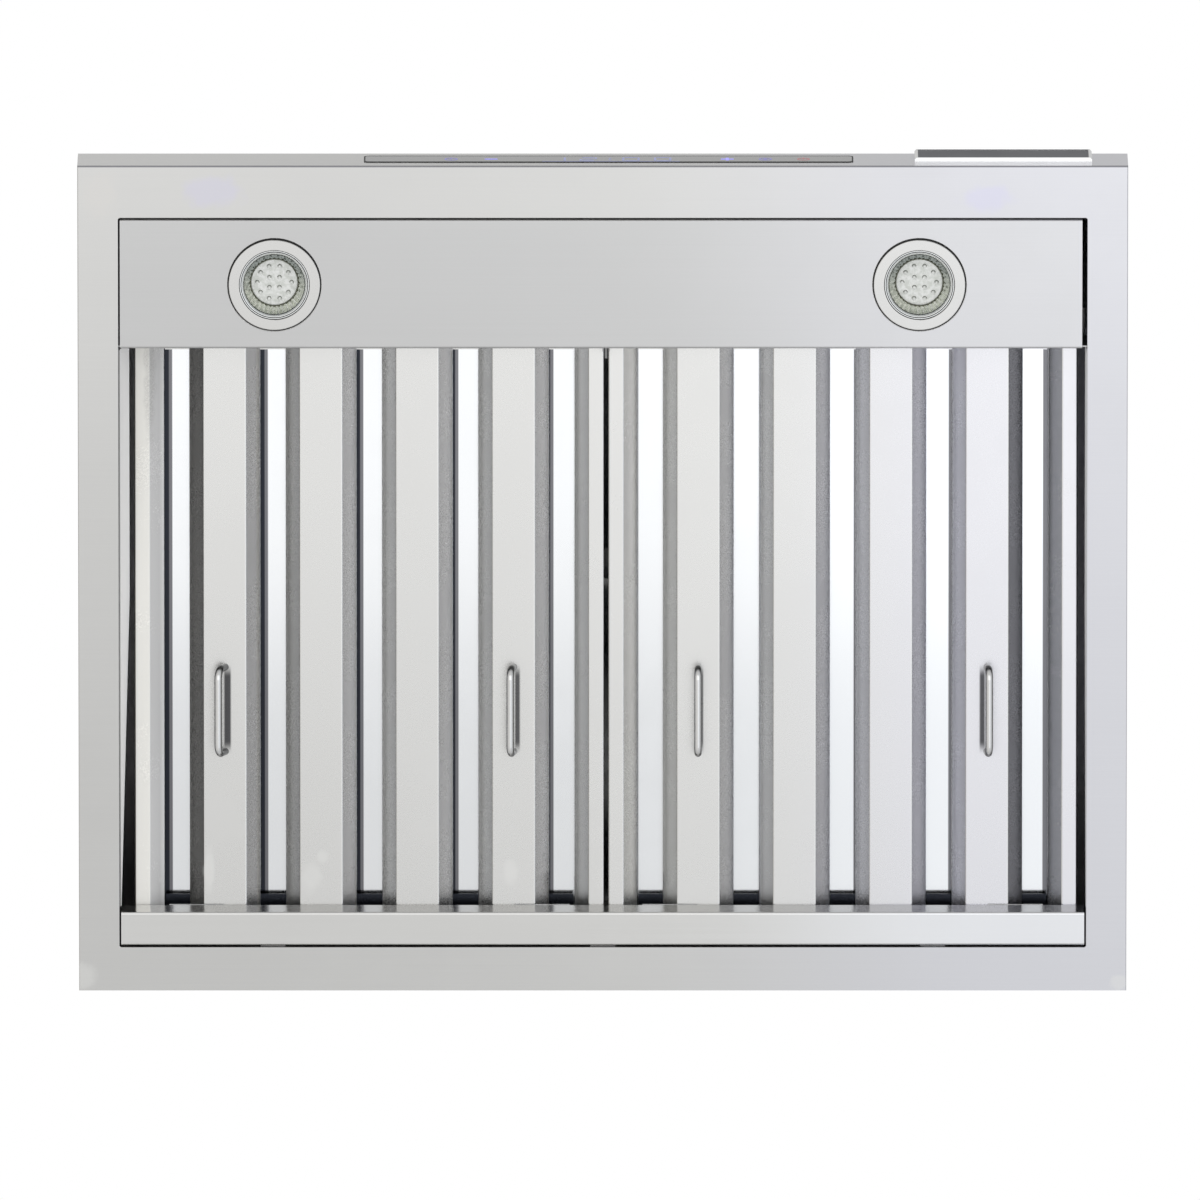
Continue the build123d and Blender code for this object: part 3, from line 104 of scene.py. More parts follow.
def add(tree, kind, values=None, **settings):
    node = tree.nodes.new(kind)
    for key, value in settings.items():
        setattr(node, key, value)
    for key, value in (values or {}).items():
        put(tree, node.inputs[key], value)
    return node


def surface(tree, output, values):
    """Gives a material its principled shader."""
    shader = add(tree, "ShaderNodeBsdfPrincipled", values)
    tree.links.new(shader.outputs[0], output.inputs["Surface"])


def calc(tree, operation, first, second=0.0):
    return add(tree, "ShaderNodeMath", {0: first, 1: second}, operation=operation).outputs[0]


def plus(tree, first, second):
    return calc(tree, "ADD", first, second)


def minus(tree, first, second):
    return calc(tree, "SUBTRACT", first, second)


def times(tree, first, second):
    return calc(tree, "MULTIPLY", first, second)


def vector_calc(tree, operation, first, second=(0.0, 0.0, 0.0)):
    return add(tree, "ShaderNodeVectorMath", {0: first, 1: second}, operation=operation).outputs[0]


def length(tree, vector):
    return add(tree, "ShaderNodeVectorMath", {0: vector}, operation="LENGTH").outputs["Value"]


def scale_colour(tree, colour, level):
    return add(tree, "ShaderNodeVectorMath", {0: colour, "Scale": level}, operation="SCALE").outputs[0]


def split(tree, vector):
    return add(tree, "ShaderNodeSeparateXYZ", {0: vector}).outputs


def ramp(tree, value, low, high, to_low=0.0, to_high=1.0, smooth=True):
    """A range of values turned into another, held at both ends."""
    kind = "SMOOTHSTEP" if smooth else "LINEAR"
    ends = {"Value": value, "From Min": low, "From Max": high, "To Min": to_low, "To Max": to_high}
    return add(tree, "ShaderNodeMapRange", ends, interpolation_type=kind).outputs["Result"]


def spread(tree, grain, to_low, to_high):
    """The middle range of a noise, spread over a range of values."""
    return ramp(tree, grain, 0.3, 0.7, to_low, to_high, smooth=False)


def bends(tree, value, stops):
    """Straight runs from stop to stop, each a pair of a place and its level."""
    level = stops[0][1]
    for (low, start), (high, end) in zip(stops, stops[1:]):
        level = plus(tree, ramp(tree, value, low, high, 0.0, end - start, smooth=False), level)
    return level


def place(tree):
    return add(tree, "ShaderNodeTexCoord").outputs["Object"]


def facing(tree):
    return split(tree, add(tree, "ShaderNodeTexCoord").outputs["Normal"])


def noise(tree, vector, scale, detail=3.0, rough=0.5):
    finer = add(tree, "ShaderNodeMapping", {"Vector": vector, "Scale": scale}).outputs["Vector"]
    values = {"Vector": finer, "Scale": 1.0, "Detail": detail, "Roughness": rough}
    return add(tree, "ShaderNodeTexNoise", values).outputs["Fac"]


def tinted(tree, first, second, factor, blend="MIX"):
    node = add(tree, "ShaderNodeMix", data_type="RGBA", blend_type=blend, clamp_factor=True)
    for socket, value in (("Factor_Float", factor), ("A_Color", first), ("B_Color", second)):
        put(tree, next(s for s in node.inputs if s.identifier == socket), value)
    return next(s for s in node.outputs if s.identifier == "Result_Color")


def multiplied(tree, colour, tint, factor):
    """The colour times a tint, as far as the factor says."""
    return tinted(tree, colour, tint, factor, "MULTIPLY")


def relief(tree, height, strength, distance):
    values = {"Height": height, "Strength": strength, "Distance": distance}
    return add(tree, "ShaderNodeBump", values).outputs[0]


def rgb(value, tint=(1.0, 1.0, 1.0)):
    return tuple(value * part for part in tint) + (1.0,)


# Masks by place on the hood, from 0 outside to 1 inside

def smudge(tree, spot, centre, half, wobble=0.5, grain=90.0):
    """A soft-edged patch with an uneven outline around one place."""
    away = vector_calc(tree, "SUBTRACT", spot, centre)
    ratio = vector_calc(tree, "MULTIPLY", away, tuple(1.0 / value for value in half))
    ragged = times(tree, minus(tree, noise(tree, spot, (grain,) * 3, 4.0), 0.5), wobble * 2)
    return ramp(tree, plus(tree, length(tree, ratio), ragged), 0.45, 1.05, 1.0, 0.0)


def strip(tree, spot, centre, half, soft):
    """A soft-edged bar around one place."""
    away = vector_calc(tree, "SUBTRACT", spot, centre)
    off = split(tree, vector_calc(tree, "ABSOLUTE", away))
    sides = []
    for axis, reach, edge in zip(("X", "Y"), half, soft):
        sides.append(ramp(tree, off[axis], reach - edge, reach + edge, 1.0, 0.0))
    return times(tree, sides[0], sides[1])


def across_slot(tree, spot):
    """How far a place is from the left edge of its slot."""
    x = split(tree, spot)["X"]
    side = ramp(tree, x, filter_gap - 0.001, filter_gap + 0.001, smooth=False)
    start = plus(tree, left_slot, times(tree, side, right_slot - left_slot))
    step = calc(tree, "FRACT", calc(tree, "DIVIDE", minus(tree, x, start), baffle_pitch))
    return times(tree, step, baffle_pitch)


def in_slot(tree, along):
    return ramp(tree, along, slot_width + 0.0002, slot_width + 0.0006, 1.0, 0.0)


def slot_bar(tree, width, away, along):
    """A bar of some width inside a slot, where away is the distance from the edge that it lies along."""
    return times(tree, ramp(tree, minus(tree, width, away), -0.0004, 0.0004), in_slot(tree, along))


def slot_edge_shadow(tree, spot, less=0.0):
    """The painted shadow strip along a slot's left edge, where one looks past the upper baffle."""
    along = across_slot(tree, spot)
    width = minus(tree, bends(tree, split(tree, spot)["X"], slot_shadow_widths), less)
    return slot_bar(tree, width, along, along)


def slot_core_shadow(tree, spot):
    """The dark inner part of that painted shadow strip."""
    return slot_edge_shadow(tree, spot, slot_shadow_border)


def far_edge_shadow(tree, spot):
    """The painted grey shade line along a slot's right edge, wider towards the hood's right end."""
    along = across_slot(tree, spot)
    width = bends(tree, split(tree, spot)["X"], far_shadow_widths)
    return slot_bar(tree, width, minus(tree, slot_width, along), along)


def end_shadow(tree, spot):
    """Painted shadow on the flange at the rear end of each slot."""
    along = across_slot(tree, spot)
    parts = split(tree, spot)
    rear = ramp(tree, parts["Y"], flange_front - 0.0015, flange_front)
    open_part = ramp(tree, along, slot_width, slot_width + 0.0005, 1.0, 0.0)
    high = ramp(tree, parts["Z"], flange_low - 0.0020, flange_low)
    return times(tree, rear, times(tree, open_part, high))


def fold_highlight(tree, spot):
    """A painted highlight: the bright line along the right-hand fold of each lower face."""
    fold = baffle_pitch - slope_run - 0.0004
    away = calc(tree, "ABSOLUTE", minus(tree, across_slot(tree, spot), fold))
    return times(tree, ramp(tree, away, 0.0003, 0.0008, 1.0, 0.0), 0.5)


def front_fold_shadow(tree, spot):
    """A painted shadow: the fine dark line along the fold between the rim and the front band."""
    parts = split(tree, spot)
    front = ramp(tree, parts["Y"], hood_front + 0.0008, hood_front + 0.0013, 1.0, 0.0)
    low = ramp(tree, parts["Z"], 0.0016, 0.0022, 1.0, 0.0)
    return times(tree, times(tree, front, low), 0.75)


# Sheet metal, with noise scales across and along its fine lines

across_lines = 2600.0
along_lines = 6.0
along_grain = 1900.0
brush_scales = {
    "x": (along_lines, across_lines, across_lines),
    "y": (across_lines, along_lines, across_lines),
    "z": (across_lines, across_lines, along_lines),
    "grain": (across_lines, along_grain, across_lines),
}


def painted_slope_light(tree, spot, shade):
    """The baffles' slopes, with painted light and shade: cooler where they face right, warmer and darker
    where they face left.
    """
    lean = facing(tree)["X"]
    x = split(tree, spot)["X"]
    along = across_slot(tree, spot)
    climb_start = baffle_pitch - slope_run
    climb = bends(tree, along, [(climb_start + run, level) for run, level in climb_run])
    fall = bends(tree, along, [(slot_width + run, level) for run, level in fall_run])
    cool = scale_colour(tree, climb_tint, times(tree, climb, bends(tree, x, climb_light_levels)))
    warm = scale_colour(tree, fall_tint, times(tree, fall, bends(tree, x, fall_light_levels)))
    shade = multiplied(tree, shade, cool, ramp(tree, lean, 0.25, 0.55))
    return multiplied(tree, shade, warm, ramp(tree, lean, -0.55, -0.25, 1.0, 0.0))


def painted_flank_shade(tree, shade, darkest):
    """Painted shade on a round wire: darker on its flanks than along its lowest line."""
    upright = calc(tree, "ABSOLUTE", facing(tree)["Z"])
    return scale_colour(tree, shade, ramp(tree, upright, 0.48, 0.78, darkest, 1.0))


def steel(name, colour, roughness=0.3, brush="x", streak=0.016, blotch=0.02, bump=0.008, metallic=1.0,
          lean=False, flank_shade_level=None, rise=None, marks=(), strips=(), shadows=(), painted_light_end=None):
    """Brushed or satin sheet metal: fine lines or grain, slow tone changes and soft marks, with painted light
    and shade.

    rise is a lighter, bluer tint that sets in from one x to another, a painted light. marks are smudges,
    strips are bars and shadows are masks, each with a colour; the strips are painted shadows and shade lines,
    the masks painted shade and highlights. The painted end gives what lies left of some x another metallic
    value and a lighter tint, a painted light.
    With lean the baffles' slopes get painted light and shade, and the flank setting paints shade on a wire's
    flanks.
    """
    material, tree, output = new_material(name)
    spot = place(tree)
    scale = brush_scales[brush]
    fine = noise(tree, spot, scale, 3.0, 0.6)
    coarse = noise(tree, spot, tuple(value * 0.3 + 2.0 for value in scale), 2.0)
    slow = noise(tree, spot, (3.0, 3.5, 3.0), 3.0)
    handled = noise(tree, spot, (22.0, 22.0, 22.0), 4.0, 0.6)
    lines = plus(tree, times(tree, fine, 0.65), times(tree, coarse, 0.35))
    level = plus(tree, spread(tree, lines, 1.0 - streak, 1.0 + streak), spread(tree, slow, -blotch, blotch))
    shade = scale_colour(tree, colour[:3], level)
    gloss = plus(tree, spread(tree, lines, roughness - 0.02, roughness + 0.02),
                 ramp(tree, handled, 0.42, 0.68, -0.006, 0.014))
    if rise:
        start, end, tint = rise
        reach = ramp(tree, split(tree, spot)["X"], start, end)
        shade = multiplied(tree, shade, tint + (1.0,), reach)
    if lean:
        shade = painted_slope_light(tree, spot, shade)
    if flank_shade_level:
        shade = painted_flank_shade(tree, shade, flank_shade_level)
    for centre, half, tint, strength, rougher in marks:
        patch = times(tree, smudge(tree, spot, centre, half), strength)
        shade = tinted(tree, shade, tint, patch)
        gloss = plus(tree, gloss, times(tree, patch, rougher))
    for centre, half, soft, tint, strength in strips:
        shade = tinted(tree, shade, tint, times(tree, strip(tree, spot, centre, half, soft), strength))
    for mask, tint in shadows:
        shade = tinted(tree, shade, tint, mask(tree, spot))
    # What lies left of some x gets a lighter tint, a painted light
    if painted_light_end:
        start, end, end_metallic, tint = painted_light_end
        x = split(tree, spot)["X"]
        metallic = ramp(tree, x, start, end, end_metallic, metallic)
        shade = multiplied(tree, shade, tint + (1.0,), ramp(tree, x, start, end, 1.0, 0.0))
    surface(tree, output, {"Base Color": shade, "Metallic": metallic, "Roughness": gloss,
                           "Normal": relief(tree, lines, bump, 0.0002)})
    return material


def spangle(name, colour, roughness=0.42, size=140.0, change=0.16):
    """Galvanised sheet: crystal facets of slightly different greys."""
    material, tree, output = new_material(name)
    spot = place(tree)
    swirl = add(tree, "ShaderNodeTexNoise", {"Vector": spot, "Scale": 60.0}).outputs["Color"]
    bent = vector_calc(tree, "ADD", spot, scale_colour(tree, swirl, 0.006))
    facets = add(tree, "ShaderNodeTexVoronoi", {"Vector": bent, "Scale": size}).outputs["Color"]
    tone = add(tree, "ShaderNodeSeparateColor", {0: facets}).outputs[0]
    film = noise(tree, spot, (9.0, 9.0, 9.0), 3.0)
    level = plus(tree, ramp(tree, tone, 0.0, 1.0, 1.0 - change, 1.0 + change, smooth=False),
                 spread(tree, film, -0.06, 0.06))
    gloss = ramp(tree, tone, 0.0, 1.0, roughness - 0.08, roughness + 0.08, smooth=False)
    surface(tree, output, {"Base Color": scale_colour(tree, colour[:3], level), "Metallic": 1.0,
                           "Roughness": gloss})
    return material


# Plastic, glass, lamp and board materials

def plain(name, colour, roughness=0.5, change=0.08):
    """Moulded or painted stuff with a fine grain and slow tone changes."""
    material, tree, output = new_material(name)
    spot = place(tree)
    fine = noise(tree, spot, (600.0, 600.0, 600.0), 3.0, 0.6)
    slow = noise(tree, spot, (18.0, 18.0, 18.0), 2.0)
    tone = plus(tree, times(tree, fine, 0.5), times(tree, slow, 0.5))
    shade = scale_colour(tree, colour[:3], spread(tree, tone, 1.0 - change, 1.0 + change))
    surface(tree, output, {"Base Color": shade, "Normal": relief(tree, fine, 0.05, 0.0002),
                           "Roughness": spread(tree, tone, roughness - 0.05, roughness + 0.05)})
    return material


def fluted(name, centre, flutes=36.0):
    """A lamp's bright fluted reflector, darker towards the front where the bezel shades it, with painted
    highlights on its flutes and a painted dark ring of shade at its outer edge.
    """
    material, tree, output = new_material(name)
    spot = place(tree)
    away = vector_calc(tree, "SUBTRACT", spot, centre + (0.0,))
    parts = split(tree, away)
    turn = calc(tree, "ARCTAN2", parts["Y"], parts["X"])
    radius = length(tree, vector_calc(tree, "MULTIPLY", away, (1.0, 1.0, 0.0)))
    wave = calc(tree, "SINE", times(tree, turn, flutes))
    flecks = noise(tree, spot, (900.0, 900.0, 300.0), 3.0, 0.7)
    rear = ramp(tree, parts["Y"], -0.016, 0.018)
    flute_highlight = times(tree, ramp(tree, plus(tree, wave, times(tree, flecks, 1.6)), 0.4, 1.9), rear)
    shade = tinted(tree, (0.40, 0.43, 0.42, 1.0), (0.82, 0.84, 0.74, 1.0), rear)
    shade = tinted(tree, shade, (0.96, 0.96, 0.90, 1.0), flute_highlight)
    outer = ramp(tree, radius, 0.0235, 0.0252)
    shade = tinted(tree, shade, (0.10, 0.11, 0.11, 1.0), times(tree, outer, 0.7))
    surface(tree, output, {"Base Color": shade, "Metallic": 1.0, "Normal": relief(tree, flecks, 0.15, 0.0004),
                           "Roughness": ramp(tree, flecks, 0.3, 0.7, 0.10, 0.20)})
    return material


def domed(name):
    """The white lens: glassy domes on a pale, slightly green disc; the domes' flanks carry painted shade,
    dark, and painted highlights where they face +y.
    """
    material, tree, output = new_material(name)
    spot = place(tree)
    normal = facing(tree)
    steep = ramp(tree, calc(tree, "ABSOLUTE", normal["Z"]), 0.60, 0.985, 1.0, 0.0)
    lit = ramp(tree, normal["Y"], -0.2, 0.5)
    cloud = noise(tree, spot, (260.0, 260.0, 260.0), 3.0, 0.6)
    disc = tinted(tree, (0.70, 0.72, 0.68, 1.0), (0.90, 0.91, 0.89, 1.0), ramp(tree, cloud, 0.35, 0.65))
    dome_flank_light_and_shade = tinted(tree, (0.16, 0.17, 0.14, 1.0), (0.95, 0.96, 0.95, 1.0), lit)
    shade = tinted(tree, disc, dome_flank_light_and_shade, times(tree, steep, 0.85))
    surface(tree, output, {"Base Color": shade, "Normal": relief(tree, cloud, 0.1, 0.0003),
                           "Roughness": ramp(tree, cloud, 0.3, 0.7, 0.08, 0.16), "Coat Weight": 0.5})
    return material


def glow(name, colour, strength, base=0.02):
    """A lit mark behind dark glass, a little uneven."""
    material, tree, output = new_material(name)
    uneven = spread(tree, noise(tree, place(tree), (300.0, 300.0, 300.0), 2.0), 0.85, 1.1)
    surface(tree, output, {"Base Color": scale_colour(tree, (base, base, base), uneven), "Roughness": 0.3,
                           "Emission Color": scale_colour(tree, colour, uneven),
                           "Emission Strength": strength})
    return material


def board(name):
    """Solder mask with pale pads and darker copper runs."""
    material, tree, output = new_material(name)
    spot = place(tree)
    cells = add(tree, "ShaderNodeTexVoronoi", {"Vector": spot, "Scale": 320.0}).outputs["Distance"]
    pads = ramp(tree, cells, 0.16, 0.2, 1.0, 0.0)
    runs = ramp(tree, noise(tree, spot, (40.0, 900.0, 300.0), 1.0), 0.48, 0.52)
    shade = tinted(tree, (0.015, 0.10, 0.045, 1.0), (0.03, 0.16, 0.07, 1.0), runs)
    shade = tinted(tree, shade, (0.62, 0.60, 0.52, 1.0), pads)
    surface(tree, output, {"Base Color": shade, "Roughness": ramp(tree, cells, 0.0, 1.0, 0.35, 0.5)})
    return material


# Colours

# A pale colour for soft marks and for the painted fold highlight
pale = (0.86, 0.86, 0.84, 1.0)
# Painted shadow navy for the cores of the slot strips and the rear flanges
dark = (0.030, 0.033, 0.042, 1.0)
handle_shade = (0.055, 0.055, 0.06, 1.0)
worn_grey = (0.42, 0.42, 0.42, 1.0)
liner_shade = (0.10, 0.10, 0.10, 1.0)
# Painted shade greys for the slot edges and the front fold
slot_shade_grey = (0.20, 0.20, 0.215, 1.0)
fold_shade_grey = (0.22, 0.22, 0.25, 1.0)
warm_grey = (1.0, 0.995, 0.98)

# Marks: a middle, half sizes, a colour, its strength, and how much rougher it is there

rim_marks = (
    ((-0.377, -0.011, 0.0), (0.011, 0.012, 0.05), pale, 0.45, 0.12),
    ((0.376, -0.006, 0.0), (0.008, 0.007, 0.05), pale, 0.40, 0.12),
    ((-0.2833, -0.591, 0.0), (0.026, 0.014, 0.03), (0.66, 0.64, 0.88, 1.0), 0.30, 0.0),
    ((0.2785, -0.5865, 0.0), (0.022, 0.012, 0.03), (0.66, 0.64, 0.90, 1.0), 0.30, 0.0),
    ((-0.365, -0.590, 0.0), (0.016, 0.020, 0.03), (0.78, 0.74, 0.70, 1.0), 0.18, 0.0),
)
baffle_marks = (
    ((-0.2865, -0.0863, 0.0), (0.0045, 0.020, 0.08), pale, 0.42, 0.15),
    ((-0.2120, -0.0800, 0.0), (0.0080, 0.016, 0.08), pale, 0.30, 0.15),
    ((-0.2040, -0.0960, 0.0), (0.0050, 0.006, 0.08), pale, 0.30, 0.15),
    ((-0.0670, -0.0850, 0.0), (0.0070, 0.012, 0.08), pale, 0.30, 0.15),
)
frame_marks = (
    ((-0.3290, -0.4450, 0.0), (0.0060, 0.055, 0.08), worn_grey, 0.40, 0.05),
)

# Shadows beside the handles: x, half a width, its soft edge and a strength

handle_y = -0.2045
handle_half_length = 0.0285
handle_soft_end = 0.0050
handle_shadows = (
    (-0.2729, 0.0024, 0.0008, 0.94),
    (-0.0620, 0.0017, 0.0008, 0.90),
    (0.0724, 0.0007, 0.0005, 0.80),
    (0.2760, 0.0018, 0.0008, 0.92),
)
handle_strips = []
for x, half, soft, strength in handle_shadows:
    middle = (x, handle_y, 0.0)
    reach = (half, handle_half_length)
    handle_strips.append((middle, reach, (soft, handle_soft_end), handle_shade, strength))
liner_strips = [((-0.3512, -0.25, 0.0), (0.0007, 0.25), (0.0003, 0.01), liner_shade, 0.85)]

# One material for each kind of piece

# The rise tints make the steel lighter and bluer towards the hood's right end, a painted light
baffle_light_rise = (0.10, 0.26, (1.03, 1.03, 1.09))
materials = {
    "canopy_steel": steel(
        "canopy_steel", rgb(0.70, warm_grey), marks=rim_marks, shadows=((front_fold_shadow, fold_shade_grey),),
        rise=(0.0, 0.28, (1.02, 1.025, 1.09)),
    ),
    "panel_steel": steel("panel_steel", rgb(0.625), rise=(0.02, 0.24, (1.13, 1.13, 1.16))),
    "baffle_steel": steel(
        "baffle_steel", rgb(0.765, warm_grey), 0.28, "grain", streak=0.006, blotch=0.015, bump=0.0015,
        lean=True, rise=baffle_light_rise, marks=baffle_marks, strips=handle_strips, shadows=((fold_highlight, pale),),
    ),
    # The frame's left end is painted lighter and less metallic, a painted light
    "frame_steel": steel(
        "frame_steel", rgb(0.77, warm_grey), 0.26, "grain", streak=0.006, bump=0.0015,
        lean=True, rise=baffle_light_rise, marks=frame_marks, shadows=((end_shadow, dark),),
        painted_light_end=(-0.3185, -0.3180, 0.15, (1.20, 1.19, 1.15)),
    ),
    "upper_baffle": steel(
        "upper_baffle", (0.945, 0.96, 0.98, 1.0), 0.16, "grain", streak=0.006, blotch=0.01, bump=0.0015,
        shadows=((slot_edge_shadow, slot_shade_grey), (slot_core_shadow, dark), (far_edge_shadow, slot_shade_grey)),
    ),
    # The side liners are near-white and matte instead of steel: painted light for the brightness of their
    # steel
    "side_liner": steel(
        "side_liner", rgb(0.98), 0.30, "y", streak=0.02, blotch=0.03, metallic=0.0, strips=liner_strips,
    ),
    "tray_steel": steel("tray_steel", rgb(0.83, warm_grey), 0.15, rise=(0.05, 0.28, (1.02, 1.03, 1.07))),
    "chimney_steel": steel("chimney_steel", rgb(0.70, warm_grey), 0.30, "z"),
    # The wire's flanks get painted shade
    "handle_wire": steel("handle_wire", rgb(0.86), 0.12, "y", streak=0.01, blotch=0.01, flank_shade_level=0.10),
    "galvanised": spangle("galvanised", rgb(0.58)),
    # The spring steel is far darker than steel: painted shade for the clips in the dark rear gap
    "spring_steel": steel("spring_steel", rgb(0.22)),
    "fasteners": steel("fasteners", rgb(0.6), 0.3, "grain"),
    # The control glass is a mid grey, much lighter than the dark glass it stands for: a painted reflection
    "control_glass": plain("control_glass", rgb(0.26), 0.10, change=0.05),
    "black_plastic": plain("black_plastic", rgb(0.02), 0.5),
    "circuit_board": board("circuit_board"),
    "badge_metal": steel("badge_metal", rgb(0.86), 0.15, streak=0.008),
    "badge_inlay": steel("badge_inlay", (0.052, 0.055, 0.070, 1.0), 0.36, streak=0.08, blotch=0.08),
    "lamp_metal": steel("lamp_metal", rgb(0.71, warm_grey), 0.24, "grain", streak=0.008),
    "lamp_reflector_left": fluted("lamp_reflector_left", lamp_places["left"]),
    "lamp_reflector_right": fluted("lamp_reflector_right", lamp_places["right"]),
    "lamp_lens": domed("lamp_lens"),
    "lamp_lip": steel("lamp_lip", rgb(0.90, (0.98, 1.0, 1.0)), 0.20, "grain", streak=0.008),
    "lens_shade": plain("lens_shade", (0.10, 0.105, 0.07, 1.0), 0.35),
    "blower_wheel": spangle("blower_wheel", rgb(0.5), 0.4, size=220.0, change=0.10),
    "motor_black": plain("motor_black", rgb(0.03), 0.45),
    "capacitor_shell": plain("capacitor_shell", rgb(0.7), 0.45),
    "grommet_rubber": plain("grommet_rubber", rgb(0.012), 0.7),
    # Near-black seal rings that also stand for the shade in the gaps around the lamps and the control glass
    "seal": plain("seal", rgb(0.012), 0.6),
    "violet_light": glow("violet_light", (0.30, 0.28, 1.0), 1.1),
    "dim_violet_light": glow("dim_violet_light", (0.30, 0.28, 0.85), 0.55),
    "pale_blue_light": glow("pale_blue_light", (0.45, 0.50, 0.95), 0.48),
    "dim_red_light": glow("dim_red_light", (0.75, 0.20, 0.22), 0.45),
}

# Nodes that look unlike the rest of their slot

special = {
    "upper_baffles_left": "upper_baffle",
    "upper_baffles_right": "upper_baffle",
    "filter_frame_left": "frame_steel",
    "filter_frame_right": "frame_steel",
    "side_liner_left": "side_liner",
    "side_liner_right": "side_liner",
    "drip_tray": "tray_steel",
    "chimney_lower": "chimney_steel",
    "chimney_upper": "chimney_steel",
    "lamp_reflector_left": "lamp_reflector_left",
    "lamp_reflector_right": "lamp_reflector_right",
}
slot_of = {entry["node"]: entry["material_slot"] for entry in frame["record"]["subparts"]}
for name, node in nodes.items():
    node.data.materials.clear()
    node.data.materials.append(materials[special.get(name, slot_of[name])])


# Building new pieces

def new_piece(name, mesh, material, smooth):
    for polygon in mesh.polygons:
        polygon.use_smooth = smooth
    mesh.materials.append(materials[material])
    piece = bpy.data.objects.new(name, mesh)
    bpy.context.scene.collection.objects.link(piece)
    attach(piece, "hood")


def turned(name, centre, profile, material, steps=128):
    """A closed ring turned from a profile of radius and height pairs."""
    points = []
    faces = []
    count = len(profile)
    for step in range(steps):
        turn = math.tau * step / steps
        start = step * count
        after = (step + 1) % steps * count
        for index, (reach, rise) in enumerate(profile):
            beside = (index + 1) % count
            points.append((centre[0] + reach * math.cos(turn), centre[1] + reach * math.sin(turn), rise))
            faces.append((start + index, start + beside, after + beside, after + index))
    mesh = bpy.data.meshes.new(name)
    mesh.from_pydata(points, [], faces)
    new_piece(name, mesh, material, smooth=True)


def oval(radius, height, half_width, half_height, around=10):
    """The profile of a ring with an oval section."""
    profile = []
    for part in range(around):
        angle = -math.tau * part / around
        profile.append((radius + half_width * math.cos(angle), height + half_height * math.sin(angle)))
    return profile


def rounded(width, height, radius, steps=6):
    """Corner points of a rounded rectangle around the origin."""
    points = []
    for corner, (sx, sz) in enumerate(((1, 1), (-1, 1), (-1, -1), (1, -1))):
        for step in range(steps + 1):
            angle = math.radians(90 * corner + 90 * step / steps)
            points.append((sx * (width / 2 - radius) + radius * math.cos(angle),
                           sz * (height / 2 - radius) + radius * math.sin(angle)))
    return points


def circle(radius, steps=28):
    turns = [math.tau * step / steps for step in range(steps)]
    return [(radius * math.cos(turn), radius * math.sin(turn)) for turn in turns]


def bar(width, height):
    return rounded(width, height, min(width, height) * 0.35, 3)


def loop(builder, outline, centre, y):
    return [builder.verts.new((centre[0] + px, y, centre[1] + pz)) for px, pz in outline]


def joined(builder, first, second):
    """Faces between two loops of equally many points."""
    for index in range(len(first)):
        after = (index + 1) % len(first)
        builder.faces.new((first[index], first[after], second[after], second[index]))


def plate(builder, outline, centre, y, depth):
    """A flat plate in the front plane, its face at y."""
    front = loop(builder, outline, centre, y)
    back = loop(builder, outline, centre, y + depth)
    builder.faces.new(front)
    builder.faces.new(back[::-1])
    joined(builder, front, back)


def hoop(builder, outer, inner, centre, y, depth):
    """A flat frame in the front plane, between two outlines of equally many points."""
    levels = ((outer, y), (inner, y), (inner, y + depth), (outer, y + depth))
    loops = [loop(builder, outline, centre, level) for outline, level in levels]
    for first, second in zip(loops, loops[1:] + loops[:1]):
        joined(builder, first, second)


def mark(x, z, *outlines, lift=mark_lift):
    """A sign on the control strip, from one outline or from an outer and an inner one."""
    return outlines, (x, strip_middle[1] + z), strip_face - lift, mark_depth


def strip_piece(name, shapes, material):
    """A flat piece on the control strip, made of plates and hoops."""
    builder = bmesh.new()
    for outlines, centre, y, depth in shapes:
        draw = plate if len(outlines) == 1 else hoop
        draw(builder, *outlines, centre, y, depth)
    bmesh.ops.recalc_face_normals(builder, faces=builder.faces[:])
    mesh = bpy.data.meshes.new(name)
    builder.to_mesh(mesh)
    builder.free()
    new_piece(name, mesh, material, smooth=False)


# Lamp trim: black seal rings that also stand for the shade in the gaps, a dark ring of painted shadow outside
# the spring ring, a spring ring and a lip around each window, and a dark ring of painted shadow around each
# lens

clip_profile = (
    (0.02440, 0.0006), (0.02444, 0.0002), (0.02454, 0.0001), (0.02522, 0.0001),
    (0.02532, 0.0002), (0.02536, 0.0006), (0.02536, 0.0009), (0.02440, 0.0009),
)
lip_profile = (
    (0.02405, 0.0004), (0.02380, 0.0004), (0.02310, 0.0008), (0.02245, 0.0017),
    (0.02225, 0.0021), (0.02290, 0.0026), (0.02405, 0.0012),
)


def lens_bottom(side):
    lens = nodes["lamp_lens_" + side]
    return min((lens.matrix_world @ Vector(corner)).z for corner in lens.bound_box)


def lamp_trim(side):
    """Each ring's name, profile, material and slot."""
    shadow_ring_height = lens_bottom(side) + 0.0012
    return (
        ("lamp_seal_gap_shade_", oval(0.03372, 0.0012, 0.00048, 0.0004), "seal", "grommet_rubber"),
        ("lamp_clip_shadow_", oval(0.02552, 0.0, 0.00026, 0.0003), "seal", "grommet_rubber"),
        ("lamp_clip_", clip_profile, "lamp_lip", "lamp_metal"),
        ("lamp_inner_seal_", oval(0.02422, 0.0001, 0.00020, 0.0003), "seal", "grommet_rubber"),
        ("lamp_lip_", lip_profile, "lamp_lip", "lamp_metal"),
        ("lamp_lip_seal_", oval(0.02215, 0.0022, 0.00022, 0.0003), "seal", "grommet_rubber"),
        ("lens_shadow_ring_", oval(0.01735, shadow_ring_height, 0.00050, 0.0008), "lens_shade", "lamp_metal"),
    )


